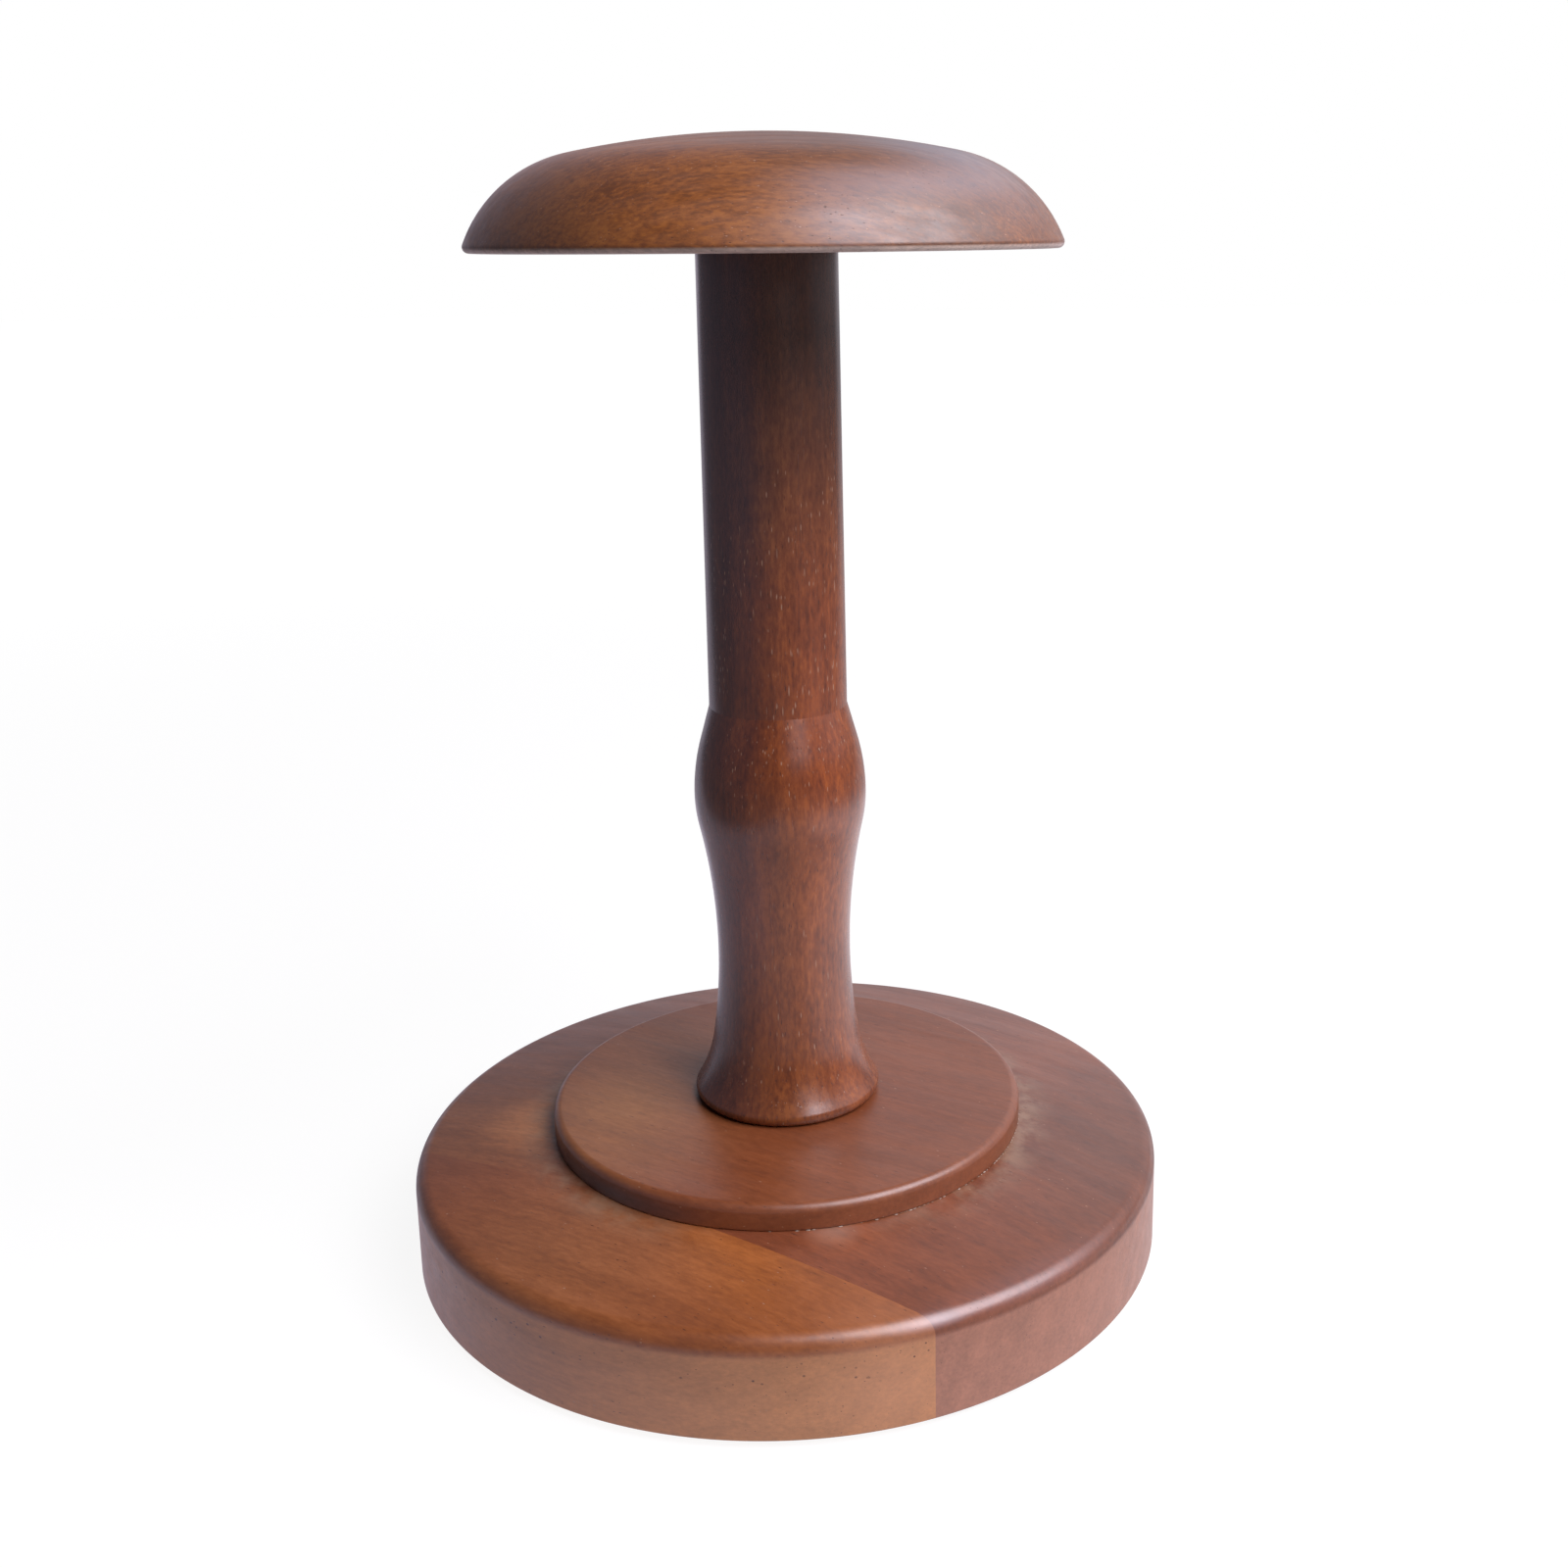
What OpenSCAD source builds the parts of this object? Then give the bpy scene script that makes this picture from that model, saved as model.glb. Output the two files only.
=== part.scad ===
// Turned wooden wig stand: a domed head on a turned stem, a riser plate and a round base.
// Millimetres, +Z up. The origin is on the floor, on the turning axis.

/* [Head cap] */
// Diameter of the cap at its rim
cap_d = 145.5; // [120:0.5:180]
// Thickness of the cap from its flat underside to its crown
cap_h = 27.8; // [22:0.1:36]
// Angle from the axis over which the shallow crown runs
crown_angle = 11.8; // [8:0.1:18]
// Lean of the side at the rim, measured from upright
rim_lean = 22; // [12:0.5:34]
// Radius that softens the rim
rim_round = 1.5; // [0.8:0.1:3]

/* [Stem] */
// Height of the stem between the riser plate and the cap
stem_h = 223.3; // [180:0.1:300]
// Diameter of the shaft under the cap
shaft_top_d = 35.1; // [28:0.1:40]
// Diameter of the shaft where it meets the belly
shaft_low_d = 35.8; // [28:0.1:40]
// Diameter of the belly
belly_d = 45; // [41:0.1:54]
// Height of the belly's widest ring above the plate
belly_z = 84.7; // [72:0.1:110]
// Profile radius of the belly above its widest ring
belly_upper_r = 55; // [30:1:70]
// Profile radius of the belly below its widest ring
belly_lower_r = 36; // [15:1:60]
// Slope of the belly's upper side where it runs into the shaft
arris_angle = 15.6; // [12:0.2:20]
// Diameter of the neck between belly and foot
neck_d = 35.3; // [28:0.1:40]
// Height of the narrowest ring of the neck above the plate
neck_z = 41.4; // [30:0.1:55]
// Diameter of the flared foot
foot_d = 49.8; // [46:0.1:60]
// Height above the plate at which the flare starts to turn out faster
flare_z = 17; // [12:0.5:26]
// How much straighter the flare runs above that height than one plain arc would
flare_stretch = 1.44; // [1:0.02:1.8]
// Radius of the rounded toe of the foot
toe_r = 2.2; // [1.5:0.1:4]
// Diameter of the tenon that centres the foot in the plate
tenon_d = 25; // [18:0.5:30]

/* [Riser plate] */
// Diameter of the plate
plate_d = 126.5; // [100:0.5:150]
// Thickness of the plate
plate_h = 6.8; // [6:0.1:12]
// Radius of the plate's upper edge
plate_round = 2.2; // [1:0.1:4]
// Radius that eases the plate's lower edge, which leaves a fine dark line on the base
plate_ease = 0.5; // [0.3:0.1:1.5]

/* [Base] */
// Diameter of the base
base_d = 200; // [170:1:240]
// Thickness of the base boards at the seat of the plate
base_h = 30.8; // [24:0.1:40]
// Radius of the base's upper edge
base_round = 4.5; // [3:0.5:9]
// Radius of the sphere that the crowned top follows outside the plate
base_crown_r = 577; // [400:1:1200]
// Radius that eases the base's lower edge
base_ease = 0.6; // [0.5:0.1:2]
// Direction of the grain and of the glue line, from +X
grain_angle = -34; // [-90:1:90]
// Distance of the glue line from the axis
glue_offset = 60.7; // [40:0.1:70]

/* [Fixings] */
// Diameter of the screw that draws the stem down on the base
screw_d = 6; // [4:0.5:8]
// Length of that screw under its head
screw_len = 65; // [55:1:80]
// Diameter of the screw's head
screw_head_d = 12; // [10:0.5:15]
// Height of the screw's head
screw_head_h = 4.2; // [3:0.1:5]
// Diameter of the washer under the head
washer_d = 18; // [16:0.5:20]
// Thickness of the washer
washer_h = 1.6; // [1:0.1:2.5]
// Diameter of the recess for head and washer
recess_d = 24; // [21:0.5:30]
// Depth of that recess in the base's underside
recess_h = 10; // [8:0.5:13]
// Diameter of the stud between stem and cap
stud_d = 8; // [6:0.5:10]
// Length of the stud held in the stem
stud_in_stem = 30; // [20:1:40]
// Length of the stud held in the cap
stud_in_cap = 15; // [10:0.5:17]
// Diameter of the threaded insert in the cap
insert_d = 12; // [11:0.5:15]
// Length of the insert with its flange
insert_h = 13; // [9:0.5:16]
// Diameter of the insert's flange
insert_flange_d = 17; // [16:0.5:20]
// Thickness of the insert's flange
insert_flange_h = 1.6; // [1:0.1:2.5]

/* [Felt pads] */
// Number of pads under the base
pad_count = 4; // [3:1:6]
// Diameter of a pad
pad_d = 20; // [14:0.5:26]
// Thickness of a pad
pad_h = 2; // [1:0.1:4]
// Distance from the base's wall to a pad
pad_inset = 10; // [6:0.5:20]

/* [Clearances] */
// Radial gap round a stud, screw, tenon or insert in its wood
fit_gap = 0.1; // [0.05:0.05:0.2]
// Radial gap round the screw's shank in base and plate
shank_gap = 0.3; // [0.2:0.05:0.6]
// Space left beyond the blind end of a tenon, stud or screw
end_gap = 0.6; // [0.3:0.1:1.5]

/* [Hidden] */
$fn = 96;
arc_step = 7.5;
arc_chord = 4;
cut_over = 1;

// Levels above the floor
base_z = pad_h;
plate_z = base_z + base_h;
stem_z = plate_z + plate_h;
cap_z = stem_z + stem_h;
washer_z = base_z + recess_h - washer_h;
screw_tip_z = washer_z + screw_len;
tenon_h = plate_h - end_gap;
pad_ring_r = base_d / 2 - pad_inset - pad_d / 2;

// Points of an arc in the profile plane. Angles run from +Z towards the outside.
function arc(c, r, from, to) =
    let (
        span = abs(to - from),
        steps = max(2, ceil(span / arc_step), ceil(r * span * PI / 180 / arc_chord))
    )
    [for (i = [0 : steps])
        let (a = from + (to - from) * i / steps)
        [c[0] + r * sin(a), c[1] + r * cos(a)]];

// Outline of the cap: a rounded rim, a shoulder and a crown, each arc tangent to the next.
// The two unknown radii follow from the cap's diameter and height.
function cap_outline() =
    let (
        a = crown_angle,
        b = 90 - rim_lean,
        rim_c = [cap_d / 2 - rim_round, rim_round],
        start = rim_c + rim_round * [sin(b), cos(b)],
        flat = (1 - cos(a)) / sin(a),
        shoulder_r = (cap_h - start[1] - flat * start[0])
                     / (cos(a) - cos(b) - flat * (sin(b) - sin(a))),
        crown_r = (start[0] - shoulder_r * (sin(b) - sin(a))) / sin(a),
        shoulder_c = start - shoulder_r * [sin(b), cos(b)]
    )
    concat([[0, 0]],
           arc(rim_c, rim_round, 180, b),
           arc(shoulder_c, shoulder_r, b, a),
           arc([0, cap_h - crown_r], crown_r, a, 0));

// Lower half of the stem's outline: toe, flare, neck and ogee up to the belly's widest ring.
// The flare's two arcs are tangent to each other and to the toe, and flare and ogee meet upright at the neck.
function stem_lower() =
    let (
        toe_c = [foot_d / 2 - toe_r, toe_r],
        reach = toe_c[0] - neck_d / 2,
        rise = neck_z - toe_r,
        plain_r = (reach * reach + rise * rise - toe_r * toe_r) / (2 * (toe_r + reach)),
        upper_r = flare_stretch * plain_r,
        upper_c = [neck_d / 2 + upper_r, neck_z],
        sweep = asin((neck_z - flare_z) / upper_r),
        inward = [cos(sweep), sin(sweep)],
        meet = upper_c - upper_r * inward,
        away = meet - toe_c,
        lower_r = (away * away - toe_r * toe_r) / (2 * (toe_r - inward * away)),
        lower_c = meet + lower_r * inward,
        toe_end = atan2(lower_c[0] - toe_c[0], lower_c[1] - toe_c[1]),
        swell = (belly_d - neck_d) / 2,
        turn = 2 * atan(swell / (belly_z - neck_z)),
        ogee_r = (belly_z - neck_z) / sin(turn) - belly_lower_r
    )
    concat(arc(toe_c, toe_r, 180, toe_end),
           arc(lower_c, lower_r, toe_end + 180, 270 - sweep),
           arc(upper_c, upper_r, 270 - sweep, 270),
           arc([neck_d / 2 + ogee_r, neck_z], ogee_r, 270, 270 + turn),
           arc([belly_d / 2 - belly_lower_r, belly_z], belly_lower_r, 90 + turn, 90));

// Upper half: the belly's shoulder runs out straight and meets the shaft in a crisp arris.
function stem_upper() =
    let (
        shoulder = arc([belly_d / 2 - belly_upper_r, belly_z], belly_upper_r, 90, 90 - arris_angle),
        last = shoulder[len(shoulder) - 1],
        arris_z = last[1] + (last[0] - shaft_low_d / 2) / tan(arris_angle)
    )
    concat(shoulder, [[shaft_low_d / 2, arris_z], [shaft_top_d / 2, stem_h]]);

// Outline of the base: an upright wall, a rounded edge and a crowned top around a flat seat for the plate.
// The crown is part of a sphere centred on the axis, and the edge's round is tangent to it.
function base_outline() =
    let (
        seat_r = plate_d / 2,
        edge_r = base_d / 2 - base_round,
        reach = base_crown_r - base_round,
        crown_c = [0, base_h - sqrt(base_crown_r * base_crown_r - seat_r * seat_r)],
        edge_c = [edge_r, crown_c[1] + sqrt(reach * reach - edge_r * edge_r)],
        slope = asin(edge_r / reach)
    )
    concat([[0, 0]],
           arc([base_d / 2 - base_ease, base_ease], base_ease, 180, 90),
           arc(edge_c, base_round, 90, slope),
           arc(crown_c, base_crown_r, slope, asin(seat_r / base_crown_r)),
           [[0, base_h]]);

// A solid turned about the axis from an outline that starts and ends on it
module turned(outline) {
    rotate_extrude() polygon(outline);
}

// A bored hole that opens downwards at z = 0
module bore(d, h) {
    translate([0, 0, -cut_over]) cylinder(d = d, h = h + cut_over);
}

// A disc with a rounded upper edge and an eased lower edge
module edged_disc(d, h, upper, lower) {
    turned(concat([[0, 0]],
                  arc([d / 2 - lower, lower], lower, 180, 90),
                  arc([d / 2 - upper, h - upper], upper, 90, 0),
                  [[0, h]]));
}

// The half space on the rear side of the glue line
module rear_of_glue_line() {
    rotate([0, 0, grain_angle])
        translate([-base_d, -glue_offset, -cut_over])
            cube([2 * base_d, 2 * base_d, base_h + 2 * cut_over]);
}

module base_blank() {
    turned(base_outline());
}

module head_cap() {
    color("#935a36") translate([0, 0, cap_z]) difference() {
        turned(cap_outline());
        bore(insert_flange_d + 2 * fit_gap, insert_flange_h);
        bore(insert_d + 2 * fit_gap, max(insert_h, stud_in_cap) + end_gap);
    }
}

module cap_insert() {
    color("#c9a452") translate([0, 0, cap_z]) difference() {
        union() {
            cylinder(d = insert_flange_d, h = insert_flange_h);
            cylinder(d = insert_d, h = insert_h);
        }
        bore(stud_d + 2 * fit_gap, insert_h + cut_over);
    }
}

module cap_stud() {
    color("#a9abb0") translate([0, 0, cap_z - stud_in_stem])
        cylinder(d = stud_d, h = stud_in_stem + stud_in_cap);
}

module stem() {
    color("#6e3f28") translate([0, 0, stem_z]) difference() {
        union() {
            turned(concat([[0, 0]], stem_lower(), stem_upper(), [[0, stem_h]]));
            translate([0, 0, -tenon_h]) cylinder(d = tenon_d, h = tenon_h + toe_r);
        }
        translate([0, 0, -tenon_h])
            bore(screw_d + 2 * fit_gap, screw_tip_z - stem_z + tenon_h + end_gap);
        translate([0, 0, stem_h - stud_in_stem - end_gap])
            cylinder(d = stud_d + 2 * fit_gap, h = stud_in_stem + end_gap + cut_over);
    }
}

module riser_plate() {
    color("#8f5b42") translate([0, 0, plate_z]) difference() {
        edged_disc(plate_d, plate_h, plate_round, plate_ease);
        bore(tenon_d + 2 * fit_gap, plate_h + cut_over);
    }
}

module base_front_board() {
    color("#96613f") translate([0, 0, base_z]) difference() {
        base_blank();
        rear_of_glue_line();
    }
}

module base_rear_board() {
    color("#8c5945") translate([0, 0, base_z]) difference() {
        intersection() {
            base_blank();
            rear_of_glue_line();
        }
        bore(recess_d, recess_h);
        bore(screw_d + 2 * shank_gap, base_h + cut_over);
    }
}

module base_screw() {
    tip_h = screw_d;
    dome_h = screw_head_h / 2;
    dome_r = (dome_h * dome_h + screw_head_d * screw_head_d / 4) / (2 * dome_h);
    color("#b4b6ba") translate([0, 0, washer_z]) turned(concat(
        arc([0, dome_r - screw_head_h], dome_r, 180, 180 - asin(screw_head_d / 2 / dome_r)),
        [[screw_head_d / 2, 0], [screw_d / 2, 0], [screw_d / 2, screw_len - tip_h], [0, screw_len]]));
}

module screw_washer() {
    color("#b4b6ba") translate([0, 0, washer_z]) difference() {
        cylinder(d = washer_d, h = washer_h);
        bore(screw_d + 2 * fit_gap, washer_h + cut_over);
    }
}

module felt_pads() {
    color("#2f2c2b")
        for (i = [0 : pad_count - 1])
            rotate([0, 0, (i + 0.5) * 360 / pad_count])
                translate([pad_ring_r, 0, 0]) cylinder(d = pad_d, h = pad_h);
}

head_cap();
cap_insert();
cap_stud();
stem();
riser_plate();
base_front_board();
base_rear_board();
base_screw();
screw_washer();
felt_pads();
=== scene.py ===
"""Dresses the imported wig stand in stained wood, plated fixings and felt, under a soft window light.

Sizes are in millimetres in the part's own frame, and are turned into metres where a mesh is made.
"""

import logging
import math
from collections.abc import Sequence
from dataclasses import dataclass, field
from enum import Enum
from typing import Any

import bmesh
import bpy
from mathutils import Matrix, Vector


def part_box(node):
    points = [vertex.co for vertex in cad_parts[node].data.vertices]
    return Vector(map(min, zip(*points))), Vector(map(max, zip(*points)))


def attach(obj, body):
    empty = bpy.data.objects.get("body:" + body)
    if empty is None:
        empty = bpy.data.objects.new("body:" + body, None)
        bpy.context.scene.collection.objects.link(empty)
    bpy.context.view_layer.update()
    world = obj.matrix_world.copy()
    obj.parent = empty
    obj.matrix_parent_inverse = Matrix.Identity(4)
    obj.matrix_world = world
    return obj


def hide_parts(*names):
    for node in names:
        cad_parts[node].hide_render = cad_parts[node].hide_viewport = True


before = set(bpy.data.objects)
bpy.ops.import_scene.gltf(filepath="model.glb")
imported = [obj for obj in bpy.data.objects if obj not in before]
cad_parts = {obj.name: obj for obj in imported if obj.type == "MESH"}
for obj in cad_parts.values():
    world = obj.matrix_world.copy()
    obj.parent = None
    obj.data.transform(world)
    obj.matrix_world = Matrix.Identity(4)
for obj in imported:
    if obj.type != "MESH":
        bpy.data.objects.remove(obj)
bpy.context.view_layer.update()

log = logging.getLogger("wig_stand")

MM = 0.001
BODY = "root"
LONGEST_CHORD = 1.5
Point = tuple[float, float]
Span = tuple[float, float]
Triple = tuple[float, float, float]
Colour = tuple[float, float, float]
Socket = bpy.types.NodeSocket


class Facets(Enum):
    """How many facets go round a turned piece."""

    BROAD = 256
    SLIM = 160
    SMALL = 64


def arc(centre: Point, radius: float, start: float, end: float, step: float = 3.0) -> list[Point]:
    """Points of an arc in the profile plane.

    Args:
        centre: Radius and height of the arc's centre.
        radius: Radius of the arc.
        start: First angle in degrees, from upright towards the outside.
        end: Last angle in degrees.
        step: Largest turn between two points, in degrees.

    Returns:
        The points from the first angle to the last.
    """
    sweep = abs(end - start)
    count = max(2, math.ceil(sweep / step), math.ceil(radius * math.radians(sweep) / LONGEST_CHORD))
    turns = [math.radians(start + (end - start) * i / count) for i in range(count + 1)]
    return [(centre[0] + radius * math.sin(a), centre[1] + radius * math.cos(a)) for a in turns]


def run(start: Point, end: Point, step: float) -> list[Point]:
    """Points of a straight run.

    Args:
        start: First point.
        end: Last point.
        step: Largest distance between two points.

    Returns:
        The points from the first to the last.
    """
    count = max(1, math.ceil(math.dist(start, end) / step))
    return [
        (start[0] + (end[0] - start[0]) * i / count, start[1] + (end[1] - start[1]) * i / count)
        for i in range(count + 1)
    ]


def lift(outline: Sequence[Point], height: float) -> list[Point]:
    """The outline, raised by a height."""
    return [(r, z + height) for r, z in outline]


def edged_disc(d: float, h: float, upper: float, lower: float) -> list[Point]:
    """Side of a disc with a rounded upper edge and an eased lower edge.

    Args:
        d: Diameter.
        h: Thickness.
        upper: Radius of the upper edge.
        lower: Radius of the lower edge.

    Returns:
        The points from the underside to the top.
    """
    return arc((d / 2 - lower, lower), lower, 180, 90) + arc((d / 2 - upper, h - upper), upper, 90, 0)


def foot_of(node: str) -> float:
    """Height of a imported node's lowest point, in millimetres."""
    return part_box(node)[0].z / MM


def top_of(node: str) -> float:
    """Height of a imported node's highest point, in millimetres."""
    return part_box(node)[1].z / MM


def show(name: str, data: bpy.types.ID) -> bpy.types.Object:
    """Makes an object and puts it in the scene.

    Args:
        name: Name of the object.
        data: Its mesh, lamp or camera.

    Returns:
        The object.
    """
    thing = bpy.data.objects.new(name, data)
    bpy.context.scene.collection.objects.link(thing)
    return thing


class NodeWriter:
    """Writes nodes and links into one node tree."""

    def __init__(self, tree: bpy.types.NodeTree) -> None:
        """Takes the tree and empties it."""
        self.tree = tree
        self.tree.nodes.clear()

    def add(self, kind: str, inputs: dict[Any, Any] | None = None, **settings: Any) -> bpy.types.Node:
        """Adds one node.

        Args:
            kind: Blender's name for the node.
            inputs: Plain value or socket for its inputs, by name or number.
            **settings: Properties that are set on it first.

        Returns:
            The node.
        """
        node = self.tree.nodes.new(kind)
        for name, value in settings.items():
            setattr(node, name, value)
        self.fill(node, inputs or {})
        return node

    def fill(self, node: bpy.types.Node, inputs: dict[Any, Any]) -> None:
        """Links sockets into a node's inputs, or sets plain values on them.

        Args:
            node: The node.
            inputs: Socket or plain value for each input, by name or number, or None to leave it alone.
        """
        for key, value in inputs.items():
            if isinstance(value, bpy.types.NodeSocket):
                self.tree.links.new(value, node.inputs[key])
            elif value is not None:
                node.inputs[key].default_value = value

    def math(self, operation: str, a: Any, b: Any = None, c: Any = None, clamp: bool = False) -> Socket:
        """One step of arithmetic.

        Args:
            operation: Blender's name for the operation.
            a: First number or socket.
            b: Second one, where the operation takes it.
            c: Third one, where the operation takes it.
            clamp: Whether the result stays between 0 and 1.

        Returns:
            The result.
        """
        node = self.add("ShaderNodeMath", {0: a, 1: b, 2: c}, operation=operation, use_clamp=clamp)
        return node.outputs[0]

    def fold(self, operation: str, first: Any, *others: Any) -> Any:
        """One operation over a row of numbers, from left to right.

        Args:
            operation: Blender's name for the operation.
            first: First number or socket.
            *others: The rest of the row.

        Returns:
            The result.
        """
        for other in others:
            first = self.math(operation, first, other)
        return first

    def level(self, share: Socket, low: float, high: float) -> Socket:
        """A number that goes from low to high as a share goes from 0 to 1."""
        return self.math("MULTIPLY_ADD", share, high - low, low)

    def split(self, vector: Socket) -> tuple[Socket, ...]:
        """The three numbers of a vector."""
        return tuple(self.add("ShaderNodeSeparateXYZ", {0: vector}).outputs)

    def join(self, x: Any, y: Any, z: Any) -> Socket:
        """A vector from three numbers."""
        return self.add("ShaderNodeCombineXYZ", {0: x, 1: y, 2: z}).outputs[0]


class ShaderWriter(NodeWriter):
    """Writes the nodes of one material or world."""

    def vector(self, operation: str, a: Any, b: Any = None) -> Socket:
        """One step of vector arithmetic.

        Args:
            operation: Blender's name for the operation.
            a: First vector or socket.
            b: Second one, where the operation takes it.

        Returns:
            The result, a vector or a number as the operation gives.
        """
        node = self.add("ShaderNodeVectorMath", {0: a, 1: b}, operation=operation)
        return node.outputs["Value" if operation in ("LENGTH", "DOT_PRODUCT") else "Vector"]

    def place(self, turn: Sequence[float] = (0, 0, 0), shift: Sequence[float] = (0, 0, 0)) -> Socket:
        """Object coordinates, turned and shifted.

        Args:
            turn: Turns about X, Y and Z in degrees.
            shift: Shift in metres after the turn.

        Returns:
            The coordinates.
        """
        here = self.add("ShaderNodeTexCoord").outputs["Object"]
        inputs = {"Vector": here, "Rotation": [math.radians(a) for a in turn], "Location": shift}
        return self.add("ShaderNodeMapping", inputs).outputs[0]

    def from_axis(self, place: Socket) -> Socket:
        """Distance of a place from the stand's upright axis."""
        return self.vector("LENGTH", self.vector("MULTIPLY", place, (1.0, 1.0, 0.0)))

    def bands(self, position: Socket, detail: float, rough: float) -> Socket:
        """Noise along one number, for bands of uneven width."""
        inputs = {"W": position, "Scale": 1.0, "Detail": detail, "Roughness": rough}
        return self.add("ShaderNodeTexNoise", inputs, noise_dimensions="1D").outputs["Fac"]

    def cells(self, vector: Socket) -> tuple[Socket, Socket]:
        """Scattered cells of one unit.

        Args:
            vector: Coordinates.

        Returns:
            The distance from the nearest cell's middle, and a random number for that cell.
        """
        node = self.add("ShaderNodeTexVoronoi", {"Vector": vector, "Scale": 1.0}, feature="F1")
        return node.outputs["Distance"], self.split(node.outputs["Color"])[0]

    def between(self, value: Socket, low: float, high: float) -> Socket:
        """Where a value stands between two limits, with eased ends.

        Args:
            value: The value.
            low: Limit that gives 0.
            high: Limit that gives 1.

        Returns:
            A number from 0 to 1.
        """
        inputs = {"Value": value, "From Min": low, "From Max": high}
        return self.add("ShaderNodeMapRange", inputs, interpolation_type="SMOOTHSTEP").outputs["Result"]

    def ramp(self, value: Socket, stops: Sequence[tuple[float, Colour]]) -> Socket:
        """A colour from a row of stops.

        Args:
            value: Place along the row.
            stops: Place and colour of each stop.

        Returns:
            The colour.
        """
        node = self.add("ShaderNodeValToRGB", {0: value})
        elements = node.color_ramp.elements
        while len(elements) < len(stops):
            elements.new(1.0)
        for element, (place, colour) in zip(elements, stops):
            element.position = place
            element.color = (*colour, 1.0)
        return node.outputs["Color"]

    def mix(self, share: Any, a: Any, b: Any, blend: str = "MIX") -> Socket:
        """Two colours in one.

        Args:
            share: Share of the second colour.
            a: First colour.
            b: Second colour.
            blend: Blender's name for the way they mix.

        Returns:
            The mixed colour.
        """
        a, b = ((*c, 1.0) if isinstance(c, tuple) else c for c in (a, b))
        inputs = {"Factor": share, 6: a, 7: b}
        return self.add("ShaderNodeMix", inputs, data_type="RGBA", blend_type=blend).outputs[2]

    def bump(self, height: Socket, depth: float, under: Socket | None = None) -> Socket:
        """A normal from a height.

        Args:
            height: The height, from 0 to 1.
            depth: What 1 stands for, in millimetres.
            under: A normal that this one goes on top of.

        Returns:
            The normal.
        """
        inputs = {"Height": height, "Strength": 1.0, "Distance": depth * MM, "Normal": under}
        return self.add("ShaderNodeBump", inputs).outputs["Normal"]


def new_shader(name: str) -> tuple[bpy.types.Material, ShaderWriter, bpy.types.Node]:
    """A new material with one surface shader.

    Args:
        name: Name of the material.

    Returns:
        The material, its writer and the surface shader.
    """
    material = bpy.data.materials.new(name)
    material.use_nodes = True
    writer = ShaderWriter(material.node_tree)
    surface = writer.add("ShaderNodeBsdfPrincipled")
    writer.add("ShaderNodeOutputMaterial", {"Surface": surface.outputs[0]})
    return material, writer, surface


@dataclass(frozen=True)
class Pattern:
    """Soft noise around one half, even all round or drawn out along X.

    Attributes:
        rate: Features in one metre along X, Y and Z.
        detail: Octaves of finer noise.
        rough: Weight of the finer octaves.
    """

    rate: Triple
    detail: float = 2.0
    rough: float = 0.5

    def mark(self, w: ShaderWriter, place: Socket, size: float = 1.0, output: str = "Fac") -> Socket:
        """Lays the pattern on coordinates.

        Args:
            w: Writer of the material.
            place: The coordinates.
            size: Size of the features beside the plain ones.
            output: Fac for a number, Color for three of them.

        Returns:
            The noise.
        """
        inputs = {
            "Vector": w.vector("MULTIPLY", place, self.rate),
            "Scale": 1.0 / size,
            "Detail": self.detail,
            "Roughness": self.rough,
        }
        return w.add("ShaderNodeTexNoise", inputs, noise_dimensions="3D").outputs[output]


# Patterns in the wood and its lacquer, with the grain along X.
GRAIN_SWAY = Pattern((7.7, 22.0, 22.0))
STREAKS = Pattern((5.0, 110.0, 110.0), 4.0, 0.6)
FIBRES = Pattern((30.0, 1300.0, 1300.0))
FLECKS = Pattern((330.0, 1000.0, 1000.0), 3.0, 0.65)
MOTTLE = Pattern((70.0, 230.0, 230.0), 3.0, 0.6)
BLOTCHES = Pattern((28.0, 28.0, 28.0), 3.0)
PORE_CLUSTERS = Pattern((35.0, 110.0, 110.0))
SHEEN_LINES = Pattern((14.0, 260.0, 260.0), 4.0, 0.6)
LACQUER_PEEL = Pattern((650.0, 650.0, 650.0))
DUST_PATCHES = Pattern((90.0, 90.0, 90.0), 5.0, 0.7)

# Patterns in metal, felt and glue.
TARNISH = Pattern((180.0, 180.0, 180.0), 4.0)
SCRATCHES = Pattern((400.0, 400.0, 6000.0))
FELT_SWIRL = Pattern((260.0, 260.0, 260.0))
FELT_FIBRES = Pattern((900.0, 2600.0, 900.0), 4.0, 0.65)
GLUE_CLOUDS = Pattern((420.0, 420.0, 420.0), 3.0)

# The wood's growth bands: how far they sway, how slowly they change along the grain, and their own noise.
SWAY_REACH = 12.0
BAND_DRIFT = 0.03
BAND_DETAIL = 3.0
BAND_ROUGH = 0.55

# What the tone is made of besides the strengths that each wood has.
BAND_GAIN = 1.6
STREAK_GAIN = 1.3
FIBRE_STRENGTH = 0.4
BLOTCH_STRENGTH = 0.4
TONE_STOPS = (0.15, 0.5, 0.85)

# The pores' smallest size and its spread, their soft rim, and where they crowd together.
PORE_SIZE = 0.35
PORE_SPREAD = 0.8
PORE_RIM: Span = (0.34, 0.12)
CROWDED: Span = (0.36, 0.5)

# Darkest and lightest tone of a wall beside its tint.
WALL_LEVELS: Span = (0.62, 1.12)

# Satin lacquer, and the fine dust on it.
LACQUER_IOR = 1.75
PEEL_DEPTH = 0.012
HAZE_ROUGHNESS = 0.4
HAZE_TINT: Colour = (1.0, 0.9, 1.0)


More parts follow.
